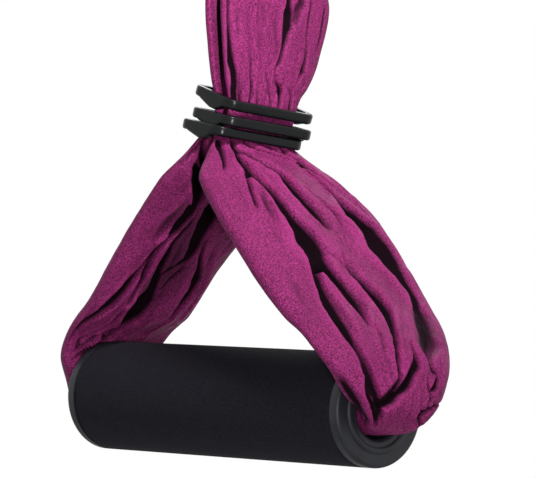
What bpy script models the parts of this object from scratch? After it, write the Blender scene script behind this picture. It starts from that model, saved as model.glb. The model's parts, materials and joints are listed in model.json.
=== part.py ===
"""Hand grip of a yoga trapeze swing, hung by its cloth band from a snap hook.

The origin is the inner top of the hook, where a strap from above bears on it.
X runs along the grip, Z is up, and everything hangs on the Z axis.
"""

import math

import bmesh
import bpy
from mathutils import Vector

# Clearance between pieces that touch, and the overrun of a cutter past what it cuts
SEAT = 0.0003
OVERRUN = 0.002

# Snap hook, bent from round steel wire
HOOK_LENGTH = 0.080
HOOK_WIDTH = 0.038
HOOK_WIRE = 0.008
TONGUE_THICKNESS = 0.003
GATE_SLOT = 0.0036
GATE_NOSE_DEPTH = 0.005
GATE_PIN_DIAMETER = 0.0026
GATE_PIN_HEIGHT = 0.004
GATE_BORE = 0.0048
GATE_EDGE = 0.0006
PLUNGER_LENGTH = 0.005
SPRING_WIRE = 0.0007
SPRING_TURNS = 6
# Depth of the gate's bore, as a share of the gate between its fork and its nose slot
GATE_BORE_SHARE = 0.6

# Grip: foam sleeve on a tube, with a cap in each end
HANG_HEIGHT = 0.220
FOAM_DIAMETER = 0.034
FOAM_LENGTH = 0.1216
FOAM_EDGE = 0.0012
TUBE_DIAMETER = 0.024
TUBE_WALL = 0.0018
CAP_FLANGE = 0.0028
CAP_EDGE = 0.0012
CAP_SPIGOT_LENGTH = 0.014
CAP_SPIGOT_WALL = 0.0013
CAP_LIP_RADIUS = 0.0120
CAP_LIP_WIDTH = 0.0022
CAP_LIP_HEIGHT = 0.0007
CAP_MOUTH_FLARE = 0.0014

# Moulded rings that gather the band, from the top one down
RING_LENGTH = 0.036
RING_WIDTH = 0.021
RING_CORNER = 0.0046
RING_WALL = 0.0026
RING_HEIGHT = 0.0030
RING_FILLET = 0.0008
RING_NAMES = ("ring_top", "ring_middle", "ring_bottom")
RING_LOWEST = 0.0830
RING_SPREAD = 0.0095
RING_TILT_DEGREES = (16.5, 10.0, 8.5)
RING_FALL_DEGREES = (3.0, 3.0, 3.0)
# How far up the spread each ring lies, and how far each has slid off the hang line, as shares of its
# own width and length
RING_RISE_SHARES = (1.0, 0.37, 0.0)
RING_SLIP_SHARES = ((0.0, -0.034), (-0.014, -0.04), (-0.095, -0.103))

# Cloth band, gathered: inside the rings, in the grip, over the hook's bar, and its two legs
BAND_PARTING = 0.0004
BAND_RING_PLAY = 0.0005
BAND_GRIP_RADIUS = 0.0082
BAND_GRIP_FOLDS = 7
BAND_GRIP_FOLD_DEPTH = 0.0012
BAND_HOOK_WIDTH = 0.0155
BAND_HOOK_PLY = 0.0026
BAND_HOOK_PLAY = 0.0010
BAND_UPPER_WIDTH = 0.044
LEG_RIGHT_WIDTH = 0.063
LEG_LEFT_WIDTH = 0.050
LEG_THICKNESS = 0.0150
LEG_FOLD_DEPTH = 0.0060
UPPER_FOLD_DEPTH = 0.0030

# Roundness, in faces
TURNED_SIDES = 36
WIRE_SIDES = 12
ARC_STEPS = 3
BEND_STEPS = 12
SMOOTH_DEGREES = 40
CLOTH_SMOOTH_DEGREES = 60
GATE_HEEL_DEGREES = (15, 30, 50, 70, 90)

GRIP_Z = -HANG_HEIGHT
BEND_RADIUS = (HOOK_WIDTH - HOOK_WIRE) / 2
WIRE_RADIUS = HOOK_WIRE / 2
TOP_BEND_Z = WIRE_RADIUS - BEND_RADIUS
LOW_BEND_Z = HOOK_WIRE - HOOK_LENGTH + WIRE_RADIUS + BEND_RADIUS
BAR_Z = LOW_BEND_Z - BEND_RADIUS
GATE_PIN_Z = LOW_BEND_Z + GATE_PIN_HEIGHT
CAP_START = FOAM_LENGTH / 2 + SEAT
MOUTH_X = CAP_START + CAP_FLANGE
CAP_SPIGOT_RADIUS = TUBE_DIAMETER / 2 - TUBE_WALL - SEAT
CAP_BORE_RADIUS = CAP_SPIGOT_RADIUS - CAP_SPIGOT_WALL
BAND_SPLIT_Z = GRIP_Z + RING_LOWEST - RING_HEIGHT / 4
BAND_IN_GRIP_END = MOUTH_X - CAP_FLANGE
GATE_PIVOT = (0.0, -BEND_RADIUS, GATE_PIN_Z)
SWING_CENTRE = (0.0, 0.0, BAR_Z)
GRIP_CENTRE = (0.0, 0.0, GRIP_Z)


def clear_scene():
    """Remove what the scene holds before the part is built."""
    for item in list(bpy.data.objects):
        bpy.data.objects.remove(item, do_unlink=True)


def material(name, colour, roughness, metallic=0.0):
    """Return a plain finish with this base colour."""
    finish = bpy.data.materials.get(name)
    if finish is None:
        finish = bpy.data.materials.new(name)
        finish.use_nodes = True
        shader = finish.node_tree.nodes["Principled BSDF"]
        shader.inputs["Base Color"].default_value = (*colour, 1.0)
        shader.inputs["Roughness"].default_value = roughness
        shader.inputs["Metallic"].default_value = metallic
    return finish


def add_piece(name, shape, finish, origin=(0.0, 0.0, 0.0), smooth_degrees=SMOOTH_DEGREES):
    """Turn a bmesh into a named object that has its origin on its joint's axis."""
    mesh = bpy.data.meshes.new(name)
    if shape.calc_volume(signed=True) < 0:
        bmesh.ops.reverse_faces(shape, faces=shape.faces)
    bmesh.ops.translate(shape, verts=shape.verts, vec=-Vector(origin))
    shape.to_mesh(mesh)
    shape.free()
    mesh.shade_smooth()
    mesh.set_sharp_from_angle(angle=math.radians(smooth_degrees))
    mesh.materials.append(finish)
    piece = bpy.data.objects.new(name, mesh)
    piece.location = origin
    bpy.context.collection.objects.link(piece)
    return piece


def add_cutter(name, shape):
    """Add a piece that only cuts others."""
    cutter = add_piece(name, shape, material("cutter", (0.5, 0.5, 0.5), 0.5))
    cutter.hide_render = True
    cutter.display_type = "WIRE"
    return cutter


def cut(piece, cutter):
    """Cut one closed shape out of a piece."""
    step = piece.modifiers.new(cutter.name, "BOOLEAN")
    step.operation = "DIFFERENCE"
    step.solver = "EXACT"
    step.object = cutter


def box(low, high):
    """Return a box between two corners."""
    shape = bmesh.new()
    bmesh.ops.create_cube(shape, size=1.0)
    low, high = Vector(low), Vector(high)
    for vertex in shape.verts:
        vertex.co = Vector(
            low[i] if vertex.co[i] < 0 else high[i] for i in range(3)
        )
    return shape


def arc(centre_a, centre_r, radius, start_degrees, end_degrees, steps=ARC_STEPS):
    """Return points on an arc in a plane, both ends included."""
    points = []
    for step in range(steps + 1):
        angle = math.radians(start_degrees + (end_degrees - start_degrees) * step / steps)
        points.append((centre_a + radius * math.cos(angle), centre_r + radius * math.sin(angle)))
    return points


def loft(rings, closed_path=False):
    """Skin rings of points, all with the same count, and close both ends."""
    shape = bmesh.new()
    rows = [[shape.verts.new(point) for point in ring] for ring in rings]
    pairs = list(zip(rows, rows[1:]))
    if closed_path:
        pairs.append((rows[-1], rows[0]))
    for lower, upper in pairs:
        for i in range(len(lower)):
            j = (i + 1) % len(lower)
            shape.faces.new((lower[i], lower[j], upper[j], upper[i]))
    if not closed_path:
        shape.faces.new(list(reversed(rows[0])))
        shape.faces.new(rows[-1])
    return shape


def turn(profile, axis, centre=(0.0, 0.0, 0.0), sides=TURNED_SIDES):
    """Turn a closed outline of (along, radius) points about X or Z."""
    rings = []
    for side in range(sides):
        angle = math.tau * side / sides
        ring = []
        for along, radius in profile:
            u, v = radius * math.cos(angle), radius * math.sin(angle)
            local = (along, u, v) if axis == "X" else (u, v, along)
            ring.append(Vector(centre) + Vector(local))
        rings.append(ring)
    return loft(rings, closed_path=True)


def turn_solid(profile, axis, centre=(0.0, 0.0, 0.0), sides=TURNED_SIDES):
    """Turn an open outline whose ends are closed by flat discs."""
    rings = []
    for along, radius in profile:
        ring = []
        for side in range(sides):
            angle = math.tau * side / sides
            u, v = radius * math.cos(angle), radius * math.sin(angle)
            local = (along, u, v) if axis == "X" else (u, v, along)
            ring.append(Vector(centre) + Vector(local))
        rings.append(ring)
    return loft(rings)


def blend_shares(stations, values, at):
    """Read a smooth curve through hand-set values, with no overshoot between them."""
    last = len(stations) - 1
    at = min(max(at, stations[0]), stations[last])
    i = max(k for k in range(last) if stations[k] <= at)
    width = stations[i + 1] - stations[i]
    t = (at - stations[i]) / width
    rise = values[i + 1] - values[i]

    def slope(k):
        if k in (0, last):
            return 0.0 if last > 1 and k == 0 else (values[k] - values[k - 1]) / (stations[k] - stations[k - 1])
        before = (values[k] - values[k - 1]) / (stations[k] - stations[k - 1])
        after = (values[k + 1] - values[k]) / (stations[k + 1] - stations[k])
        return 0.0 if before * after <= 0 else 2 * before * after / (before + after)

    start, end = slope(i) * width, slope(i + 1) * width
    return values[i] + t * start + t * t * (3 * rise - 2 * start - end) + t ** 3 * (start + end - 2 * rise)


def add_hook():
    """Bend the hook's wire and cut its two flat tongues."""
    steel = material("zinc_plated_steel", (0.62, 0.63, 0.64), 0.3, 1.0)
    low_start = GATE_PIN_Z + WIRE_RADIUS
    path = [(-BEND_RADIUS, low_start)]
    path += arc(0.0, LOW_BEND_Z, BEND_RADIUS, 180, 360, BEND_STEPS)
    path += arc(0.0, TOP_BEND_Z, BEND_RADIUS, 0, 180, BEND_STEPS)
    path.append((-BEND_RADIUS, TOP_BEND_Z - GATE_NOSE_DEPTH))
    body = add_piece("hook_body", sweep_wire(path, WIRE_RADIUS, WIRE_SIDES), steel)
    for side in (-1, 1):
        inner, outer = side * TONGUE_THICKNESS / 2, side * (WIRE_RADIUS + OVERRUN)
        near, far = min(inner, outer), max(inner, outer)
        for end, low, high in (
            ("low", GATE_PIN_Z - WIRE_RADIUS - SEAT, low_start + OVERRUN),
            ("high", TOP_BEND_Z - GATE_NOSE_DEPTH - OVERRUN, TOP_BEND_Z + SEAT),
        ):
            reach = WIRE_RADIUS + OVERRUN
            shape = box((near, -BEND_RADIUS - reach, low), (far, -BEND_RADIUS + reach, high))
            cut(body, add_cutter(f"cut_tongue_{end}_{'left' if side < 0 else 'right'}", shape))
    cut(body, add_cutter("cut_tongue_hole", pin_shape(GATE_PIN_DIAMETER / 2 + SEAT, WIRE_RADIUS + OVERRUN)))
    cut(body, add_cutter("cut_tongue_end", tongue_trim()))

    add_piece("gate_pin", pin_shape(GATE_PIN_DIAMETER / 2, WIRE_RADIUS - GATE_EDGE), steel, GATE_PIVOT)
    add_gate(steel)


def tongue_trim():
    """Return the shape that rounds the tongue's end about the gate's pivot."""
    radius = WIRE_RADIUS - SEAT
    reach = radius + OVERRUN
    outline = [(reach, GATE_PIN_Z), (reach, GATE_PIN_Z + reach), (-reach, GATE_PIN_Z + reach), (-reach, GATE_PIN_Z)]
    outline += arc(0.0, GATE_PIN_Z, radius, 180, 0, 2 * ARC_STEPS)
    half = TONGUE_THICKNESS / 2 + OVERRUN
    rings = [[Vector((x, -BEND_RADIUS + y, z)) for y, z in outline] for x in (-half, half)]
    return loft(rings)


def pin_shape(radius, half_length):
    """Return a rod on the gate's pivot axis."""
    profile = [(-half_length, radius), (half_length, radius)]
    return turn_solid(profile, "X", GATE_PIVOT, WIRE_SIDES)


def sweep_wire(path, radius, sides):
    """Sweep a round section along points in the YZ plane."""
    rings = []
    for i, (y, z) in enumerate(path):
        before, after = path[max(i - 1, 0)], path[min(i + 1, len(path) - 1)]
        run = Vector((0.0, after[0] - before[0], after[1] - before[1])).normalized()
        across = Vector((1.0, 0.0, 0.0)).cross(run)
        ring = []
        for side in range(sides):
            angle = math.tau * (side + 0.5) / sides
            offset = Vector((1.0, 0.0, 0.0)) * math.cos(angle) + across * math.sin(angle)
            ring.append(Vector((0.0, y, z)) + offset * radius)
        rings.append(ring)
    return loft(rings)


def add_gate(steel):
    """Add the gate, slotted over both tongues, with its spring and plunger in its bore."""
    top = TOP_BEND_Z - 2 * SEAT
    profile = [(-WIRE_RADIUS * math.cos(math.radians(a)), WIRE_RADIUS * math.sin(math.radians(a)))
               for a in GATE_HEEL_DEGREES]
    height = top - GATE_PIN_Z
    profile += [(height - GATE_EDGE, WIRE_RADIUS), (height, WIRE_RADIUS - GATE_EDGE)]
    gate = add_piece("hook_gate", turn_solid(profile, "Z", GATE_PIVOT, 2 * WIRE_SIDES), steel, GATE_PIVOT)
    half, reach = GATE_SLOT / 2, WIRE_RADIUS + OVERRUN
    slot_floor = GATE_PIN_Z + WIRE_RADIUS + SEAT
    nose_floor = TOP_BEND_Z - GATE_NOSE_DEPTH - 2 * SEAT
    for name, low, high in (
        ("cut_gate_fork", GATE_PIN_Z - reach, slot_floor),
        ("cut_gate_nose", nose_floor, top + OVERRUN),
    ):
        shape = box((-half, -BEND_RADIUS - reach, low), (half, -BEND_RADIUS + reach, high))
        cut(gate, add_cutter(name, shape))
    cut(gate, add_cutter("cut_gate_pin", pin_shape(GATE_PIN_DIAMETER / 2 + SEAT, reach)))
    bore_top = slot_floor + (nose_floor - slot_floor) * GATE_BORE_SHARE
    bore = [(slot_floor - GATE_SLOT / 2 - GATE_PIN_Z, GATE_BORE / 2), (bore_top - GATE_PIN_Z, GATE_BORE / 2)]
    cut(gate, add_cutter("cut_gate_bore", turn_solid(bore, "Z", GATE_PIVOT, WIRE_SIDES)))

    plunger_radius = GATE_BORE / 2 - SEAT
    plunger_low = WIRE_RADIUS
    plunger = [
        (plunger_low, TONGUE_THICKNESS / 2),
        (plunger_low + GATE_EDGE, plunger_radius),
        (plunger_low + PLUNGER_LENGTH, plunger_radius),
    ]
    add_piece("gate_plunger", turn_solid(plunger, "Z", GATE_PIVOT, WIRE_SIDES), steel, GATE_PIVOT)
    spring_low = GATE_PIN_Z + plunger_low + PLUNGER_LENGTH + SEAT + SPRING_WIRE / 2
    spring_high = bore_top - SEAT - SPRING_WIRE / 2
    add_spring(steel, spring_low, spring_high, plunger_radius - SPRING_WIRE / 2)


def add_spring(steel, low, high, radius):
    """Add the gate's coil spring as one unbroken wire."""
    steps = SPRING_TURNS * WIRE_SIDES
    centres = []
    for step in range(steps + 1):
        angle = math.tau * step / WIRE_SIDES
        height = low + (high - low) * step / steps
        centres.append(Vector((radius * math.cos(angle), -BEND_RADIUS + radius * math.sin(angle), height)))
    rings = []
    for i, centre in enumerate(centres):
        run = (centres[min(i + 1, steps)] - centres[max(i - 1, 0)]).normalized()
        out = Vector((centre.x, centre.y + BEND_RADIUS, 0.0)).normalized()
        side = run.cross(out)
        ring = []
        for k in range(WIRE_SIDES // 2):
            angle = math.tau * k / (WIRE_SIDES // 2)
            ring.append(centre + (out * math.cos(angle) + side * math.sin(angle)) * SPRING_WIRE / 2)
        rings.append(ring)
    add_piece("gate_spring", loft(rings), steel, GATE_PIVOT)
    gap = (high - low) / SPRING_TURNS - SPRING_WIRE
    print(f"gate spring: least gap between turns {gap:.5f} m")


def add_grip():
    """Add the foam sleeve, the tube in it and the two caps."""
    half = FOAM_LENGTH / 2
    outer, bore = FOAM_DIAMETER / 2, TUBE_DIAMETER / 2 + SEAT
    foam = [(-half, bore)] + arc(-half + FOAM_EDGE, outer - FOAM_EDGE, FOAM_EDGE, 180, 90)
    foam += arc(half - FOAM_EDGE, outer - FOAM_EDGE, FOAM_EDGE, 90, 0) + [(half, bore)]
    add_piece("foam_grip", turn(foam, "X", GRIP_CENTRE), material("foam_black", (0.018, 0.017, 0.019), 0.85),
              GRIP_CENTRE)
    tube = [(-half, TUBE_DIAMETER / 2), (half, TUBE_DIAMETER / 2)]
    tube += [(half, TUBE_DIAMETER / 2 - TUBE_WALL), (-half, TUBE_DIAMETER / 2 - TUBE_WALL)]
    add_piece("core_tube", turn(tube, "X", GRIP_CENTRE), material("tube_grey", (0.32, 0.32, 0.33), 0.45),
              GRIP_CENTRE)
    plastic = material("cap_black", (0.022, 0.023, 0.025), 0.42)
    for name, side in (("end_cap_right", 1), ("end_cap_left", -1)):
        profile = [(side * along, radius) for along, radius in cap_profile()]
        add_piece(name, turn(profile, "X", GRIP_CENTRE), plastic, GRIP_CENTRE)


def cap_profile():
    """Return a cap's outline: spigot, flange, raised lip and flared mouth."""
    outer = FOAM_DIAMETER / 2
    face = MOUTH_X
    lip = CAP_LIP_WIDTH / 2
    flare = CAP_MOUTH_FLARE
    points = [(CAP_START - CAP_SPIGOT_LENGTH, CAP_BORE_RADIUS), (CAP_START - CAP_SPIGOT_LENGTH, CAP_SPIGOT_RADIUS)]
    points += [(CAP_START, CAP_SPIGOT_RADIUS), (CAP_START, outer)]
    points += arc(face - CAP_EDGE, outer - CAP_EDGE, CAP_EDGE, 90, 0)
    for step in range(2 * ARC_STEPS + 1):
        angle = math.pi * step / (2 * ARC_STEPS)
        points.append((face + CAP_LIP_HEIGHT * math.sin(angle), CAP_LIP_RADIUS + lip * math.cos(angle)))
    points += arc(face - flare, CAP_BORE_RADIUS + flare, flare, 0, -90)
    return points


def add_rings():
    """Add the three moulded rings, each tilted as it lies on the cloth."""
    plastic = material("ring_black", (0.03, 0.031, 0.033), 0.38)
    for place, name in enumerate(RING_NAMES):
        piece = add_piece(name, ring_shape(), plastic)
        height = RING_LOWEST + RING_SPREAD * RING_RISE_SHARES[place]
        piece.location = (*ring_slip(place), GRIP_Z + height)
        fall, tilt = math.radians(RING_FALL_DEGREES[place]), math.radians(RING_TILT_DEGREES[place])
        piece.rotation_euler = (-fall, tilt, 0.0)


def ring_slip(place):
    """Return how far a ring lies off the hang line along X and Y."""
    share_x, share_y = RING_SLIP_SHARES[place]
    return share_x * RING_WIDTH, share_y * RING_LENGTH


def ring_shape():
    """Sweep a filleted bar round a rectangle with round corners."""
    half_x, half_y = RING_WIDTH / 2 - RING_CORNER, RING_LENGTH / 2 - RING_CORNER
    section = []
    for corner in range(4):
        start = 90 * corner
        for angle in (start, start + 45, start + 90):
            out = math.cos(math.radians(angle)) * RING_FILLET
            up = math.sin(math.radians(angle)) * RING_FILLET
            side = (1, -1, -1, 1)[corner] * (RING_WALL / 2 - RING_FILLET)
            rise = (1, 1, -1, -1)[corner] * (RING_HEIGHT / 2 - RING_FILLET)
            section.append((side + out, rise + up))
    rings = []
    for corner in range(4):
        x = (1, -1, -1, 1)[corner] * half_x
        y = (1, 1, -1, -1)[corner] * half_y
        for step in range(ARC_STEPS + 2):
            angle = math.radians(90 * corner + 90 * step / (ARC_STEPS + 1))
            out = Vector((math.cos(angle), math.sin(angle), 0.0))
            at = Vector((x, y, 0.0)) + out * (RING_CORNER - RING_WALL / 2)
            rings.append([at + out * side + Vector((0.0, 0.0, rise)) for side, rise in section])
    return loft(rings, closed_path=True)


# Where a leg of the band runs, as shares: along it, out to the mouth, and down to the grip's axis
LEG_ALONG_SHARES = (0.0, 0.06, 0.15, 0.31, 0.46, 0.60, 0.715, 0.80, 0.88, 0.93, 0.965, 1.0)
LEG_OUT_SHARES = (0.0, 0.06, 0.21, 0.43, 0.65, 0.85, 1.03, 1.150, 1.185, 1.150, 1.09, 1.0)
LEG_DOWN_SHARES = (0.0, 0.08, 0.19, 0.345, 0.51, 0.66, 0.765, 0.872, 0.97, 1.01, 1.0, 1.0)
# Its width on each side of the middle, as shares of half its greatest width
LEG_RIGHT_FRONT_SHARES = (0.42, 0.62, 0.94, 1.0, 0.99, 0.95, 0.90, 0.77, 0.57, 0.37, 0.255, 0.245)
LEG_RIGHT_BACK_SHARES = (0.42, 0.60, 0.90, 1.05, 1.05, 1.02, 0.86, 0.69, 0.51, 0.34, 0.255, 0.245)
LEG_LEFT_FRONT_SHARES = (0.53, 0.62, 0.90, 0.86, 0.82, 0.79, 0.82, 0.63, 0.46, 0.37, 0.32, 0.305)
LEG_LEFT_BACK_SHARES = (0.53, 0.78, 1.04, 0.96, 0.88, 0.89, 0.88, 0.76, 0.56, 0.40, 0.32, 0.305)
# Its thickness to the outside and to the inside of the sling, as shares of half its greatest thickness
LEG_RIGHT_THICK_SHARES = (0.38, 0.50, 0.75, 1.0, 1.0, 1.0, 1.0, 0.98, 0.96, 0.90, 0.98, 1.0)
LEG_LEFT_THICK_SHARES = (0.38, 0.42, 0.55, 0.75, 0.82, 0.84, 0.88, 0.88, 0.90, 0.90, 0.98, 1.0)
LEG_INNER_SHARES = (0.36, 0.45, 0.62, 0.80, 0.80, 0.62, 0.12, 0.50, 0.78, 0.96, 1.0, 1.0)
# Its valleys: where each lies across the leg, as shares from the front edge, and how deep each is
LEG_VALLEY_ALONG_SHARES = (0.0, 0.10, 0.31, 0.46, 0.60, 0.72, 0.88, 1.0)
LEG_RIGHT_OUTER_SHARES = (
    (0.26, 0.34, 0.42, 0.41, 0.31, 0.29, 0.28, 0.28),
    (0.50, 0.55, 0.62, 0.62, 0.63, 0.61, 0.50, 0.50),
    (0.74, 0.80, 0.86, 0.89, 0.86, 0.79, 0.68, 0.74),
)
LEG_RIGHT_INNER_SHARES = (
    (0.30, 0.30, 0.27, 0.26, 0.28, 0.30, 0.30, 0.28),
    (0.52, 0.50, 0.52, 0.55, 0.52, 0.50, 0.50, 0.50),
    (0.74, 0.75, 0.78, 0.77, 0.75, 0.74, 0.72, 0.74),
)
LEG_LEFT_INNER_SHARES = (
    (0.24, 0.27, 0.33, 0.28, 0.22, 0.20, 0.26, 0.28),
    (0.46, 0.45, 0.52, 0.48, 0.47, 0.46, 0.48, 0.50),
    (0.72, 0.70, 0.70, 0.78, 0.84, 0.82, 0.74, 0.74),
)
LEG_LEFT_OUTER_SHARES = (
    (0.26, 0.28, 0.24, 0.26, 0.30, 0.28, 0.28, 0.28),
    (0.50, 0.52, 0.47, 0.50, 0.52, 0.50, 0.50, 0.50),
    (0.74, 0.76, 0.72, 0.74, 0.76, 0.76, 0.74, 0.74),
)
LEG_DEPTH_SHARES = (0.14, 0.50, 0.95, 1.0, 0.95, 0.70, 0.55, 0.25)
LEG_STEPS = 20
LEG_EXTRA_SHARES = (0.965,)
# Places across one pleat, crowded towards its valleys
PLEAT_SHARES = (0.0, 0.1, 0.28, 0.5, 0.72, 0.9)
PLEAT_SHARPNESS = 4
EDGE_ROUNDNESS = 2.4
# Share of the route on each side of a point that gives its direction there
LEG_LOOK_SHARE = 0.006


def pleated_side(valleys, depth, reach):
    """Return (across share, height) points along one face of the cloth, from front edge to back edge."""
    marks = [0.0, *valleys, 1.0]
    points = []
    for i in range(len(marks) - 1):
        for place in PLEAT_SHARES:
            across = marks[i] + (marks[i + 1] - marks[i]) * place
            crown = edge_crown(across)
            sink = (1 - place) ** PLEAT_SHARPNESS * (i > 0)
            sink += place ** PLEAT_SHARPNESS * (i < len(marks) - 2)
            points.append((across, reach * crown - min(depth, reach) * sink * crown))
    return points


def cloth_section(centre, out, wide, front, back, outer_points, inner_points):
    """Place both faces of the cloth round one point of its route."""
    ring = []
    for across, height in outer_points:
        ring.append(centre + wide * (-front + (front + back) * across) + out * height)
    for across, height in inner_points:
        ring.append(centre + wide * (back - (front + back) * across) - out * height)
    return ring


def add_leg(name, side, width, front_shares, back_shares, thick_shares, outer_valleys, inner_valleys):
    """Loft one leg of the sling, from inside the bottom ring to the mouth of its cap."""
    shift_x, shift_y = ring_slip(-1)
    start_x = side * ring_half_x() / 2 + shift_x
    end_x = side * BAND_IN_GRIP_END
    start_z = BAND_SPLIT_Z - SEAT / 2
    drop = start_z - GRIP_Z

    def place(share):
        x = start_x + (end_x - start_x) * blend_shares(LEG_ALONG_SHARES, LEG_OUT_SHARES, share)
        z = start_z - drop * blend_shares(LEG_ALONG_SHARES, LEG_DOWN_SHARES, share)
        return Vector((x, shift_y * (1 - share) ** 2, z))

    rings = []
    thick = LEG_THICKNESS / 2
    for share in sorted([*LEG_EXTRA_SHARES, *(step / LEG_STEPS for step in range(LEG_STEPS + 1))]):
        run = place(min(share + LEG_LOOK_SHARE, 1.0)) - place(max(share - LEG_LOOK_SHARE, 0.0))
        run.normalize()
        if share == 0.0:
            run = Vector((0.0, 0.0, -1.0))
        if share >= LEG_EXTRA_SHARES[0]:
            run = Vector((-side, 0.0, 0.0))
        out = Vector((-run.z, 0.0, run.x)) if side > 0 else Vector((run.z, 0.0, -run.x))
        depth = LEG_FOLD_DEPTH * blend_shares(LEG_VALLEY_ALONG_SHARES, LEG_DEPTH_SHARES, share)
        reach_out = thick * blend_shares(LEG_ALONG_SHARES, thick_shares, share)
        reach_in = thick * blend_shares(LEG_ALONG_SHARES, LEG_INNER_SHARES, share)
        outer = [blend_shares(LEG_VALLEY_ALONG_SHARES, row, share) for row in outer_valleys]
        inner = [1 - blend_shares(LEG_VALLEY_ALONG_SHARES, row, share) for row in reversed(inner_valleys)]
        front = width / 2 * blend_shares(LEG_ALONG_SHARES, front_shares, share)
        back = width / 2 * blend_shares(LEG_ALONG_SHARES, back_shares, share)
        rings.append(cloth_section(
            place(share), out, Vector((0.0, 1.0, 0.0)), front, back,
            pleated_side(outer, depth, reach_out), pleated_side(inner, depth, reach_in),
        ))
    add_piece(name, loft(rings), cloth(), SWING_CENTRE, CLOTH_SMOOTH_DEGREES)


def cloth():
    """Return the band's finish."""
    return material("nylon_plum", (0.38, 0.045, 0.235), 0.55)


def ring_stack_height():
    """Height of the stack of rings above the foot of the upper band, at the top ring's high side."""
    tilt = math.radians(RING_TILT_DEGREES[0])
    return RING_SPREAD + RING_HEIGHT * 3 / 4 + RING_WIDTH / 2 * math.sin(tilt)


def ring_half_x():
    """Half the clear width of a ring along X, for cloth that stands upright in the steepest one."""
    tilt = math.radians(RING_TILT_DEGREES[0])
    opening = (RING_WIDTH - 2 * RING_WALL) * math.cos(tilt) - RING_HEIGHT * math.sin(tilt)
    return opening / 2 - BAND_RING_PLAY


# The upper stretch of the band: stations as shares of its waist inside the rings, then of the rest of the
# way up to the hook's bar, with its width to the front and to the back at each
UPPER_WAIST_SHARES = (0.0, 0.68, 1.0, 1.2)
UPPER_RISE_SHARES = (0.2, 0.48, 0.79, 1.0)
UPPER_FRONT_SHARES = (0.60, 0.64, 0.69, 0.77, 0.84, 0.925, 0.66, 0.0)
UPPER_BACK_SHARES = (0.60, 0.60, 0.60, 0.80, 0.985, 1.11, 0.72, 0.0)
UPPER_THICK_SHARES = (1.0, 1.0, 1.0, 1.08, 1.15, 1.20, 1.0, 0.0)
UPPER_RIGHT_SHARES = (
    (0.22, 0.22, 0.21, 0.20, 0.16, 0.12, 0.16, 0.2),
    (0.70, 0.70, 0.69, 0.69, 0.68, 0.68, 0.64, 0.6),
    (0.92, 0.92, 0.92, 0.92, 0.90, 0.86, 0.84, 0.8),
)
UPPER_LEFT_SHARES = (
    (0.20, 0.20, 0.21, 0.22, 0.26, 0.28, 0.26, 0.2),
    (0.55, 0.55, 0.54, 0.54, 0.52, 0.50, 0.52, 0.6),
    (0.80, 0.80, 0.80, 0.80, 0.78, 0.76, 0.78, 0.8),
)
UPPER_DEPTH_SHARES = (0.5, 0.5, 0.6, 0.8, 1.0, 1.0, 0.7, 0.2)
UPPER_STEPS = 8
UPPER_INNER_STEPS = 12
BAR_STEPS = 7


def add_upper_band():
    """Loft the band up from the rings on the right, over the hook's bar and down on the left."""
    bottom = BAND_SPLIT_Z + SEAT / 2
    top = BAR_Z
    loop_radius = WIRE_RADIUS + BAND_HOOK_PLAY + BAND_HOOK_PLY / 2
    half_ply = ring_half_x() / 2 - BAND_PARTING / 2
    waist = ring_stack_height() / (top - bottom)
    along = [waist * part for part in UPPER_WAIST_SHARES]
    along += [along[-1] + (1 - along[-1]) * part for part in UPPER_RISE_SHARES]

    def half(side, valleys):
        stations = []
        even = [step / UPPER_STEPS for step in range(UPPER_STEPS)]
        for share in sorted({*even, *along[1:4]}):
            rise = bottom + (top - bottom) * share
            lean = max(1 - share / along[1], 0.0) ** 2
            near_bar = max(share - along[5], 0.0) / (1 - along[5])
            near_bar = near_bar * near_bar * (3 - 2 * near_bar)
            swell = blend_shares(along, UPPER_THICK_SHARES, share)
            thick = half_ply * swell * (1 - near_bar) + BAND_HOOK_PLY / 2 * near_bar
            x = (BAND_PARTING / 2 + thick) * (1 - near_bar) + loop_radius * near_bar
            widths = []
            for row in (UPPER_FRONT_SHARES, UPPER_BACK_SHARES):
                width = BAND_UPPER_WIDTH / 2 * blend_shares(along, row, share)
                widths.append(max(width, BAND_HOOK_WIDTH / 2))
            shift_x, shift_y = ring_slip(-1)
            centre = Vector((side * x + shift_x * lean, shift_y * lean, rise))
            depth = UPPER_FOLD_DEPTH * blend_shares(along, UPPER_DEPTH_SHARES, share)
            marks = [blend_shares(along, row, share) for row in valleys]
            stations.append((centre, Vector((side, 0.0, 0.0)), widths, thick, depth, marks, near_bar))
        return stations

    over = []
    for step in range(BAR_STEPS + 1):
        angle = math.pi * step / BAR_STEPS
        out = Vector((math.cos(angle), 0.0, math.sin(angle)))
        centre = Vector((0.0, 0.0, top)) + out * loop_radius
        depth = UPPER_FOLD_DEPTH * UPPER_DEPTH_SHARES[-1]
        marks = [row[-1] for row in UPPER_RIGHT_SHARES]
        over.append((centre, out, [BAND_HOOK_WIDTH / 2] * 2, BAND_HOOK_PLY / 2, depth, marks, 1.0))
    stations = half(1, UPPER_RIGHT_SHARES) + over + list(reversed(half(-1, UPPER_LEFT_SHARES)))

    rings = []
    for centre, out, widths, thick, depth, marks, near_bar in stations:
        outer = pleated_side(marks, depth, thick)
        inner = [(i / UPPER_INNER_STEPS, thick * edge_crown(i / UPPER_INNER_STEPS)) for i in range(UPPER_INNER_STEPS)]
        ring = cloth_section(centre, out, Vector((0.0, 1.0, 0.0)), *widths, outer, inner)
        for point in ring:
            lift = BEND_RADIUS - math.sqrt(BEND_RADIUS ** 2 - min(abs(point.y), BEND_RADIUS) ** 2)
            point.z += lift * near_bar
        rings.append(ring)
    add_piece("band_upper", loft(rings), cloth(), SWING_CENTRE, CLOTH_SMOOTH_DEGREES)


def edge_crown(across):
    """Return how full the cloth is at a share of its width, with round edges."""
    return max(1 - abs(2 * across - 1) ** EDGE_ROUNDNESS, 0.0) ** (1 / EDGE_ROUNDNESS)


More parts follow.
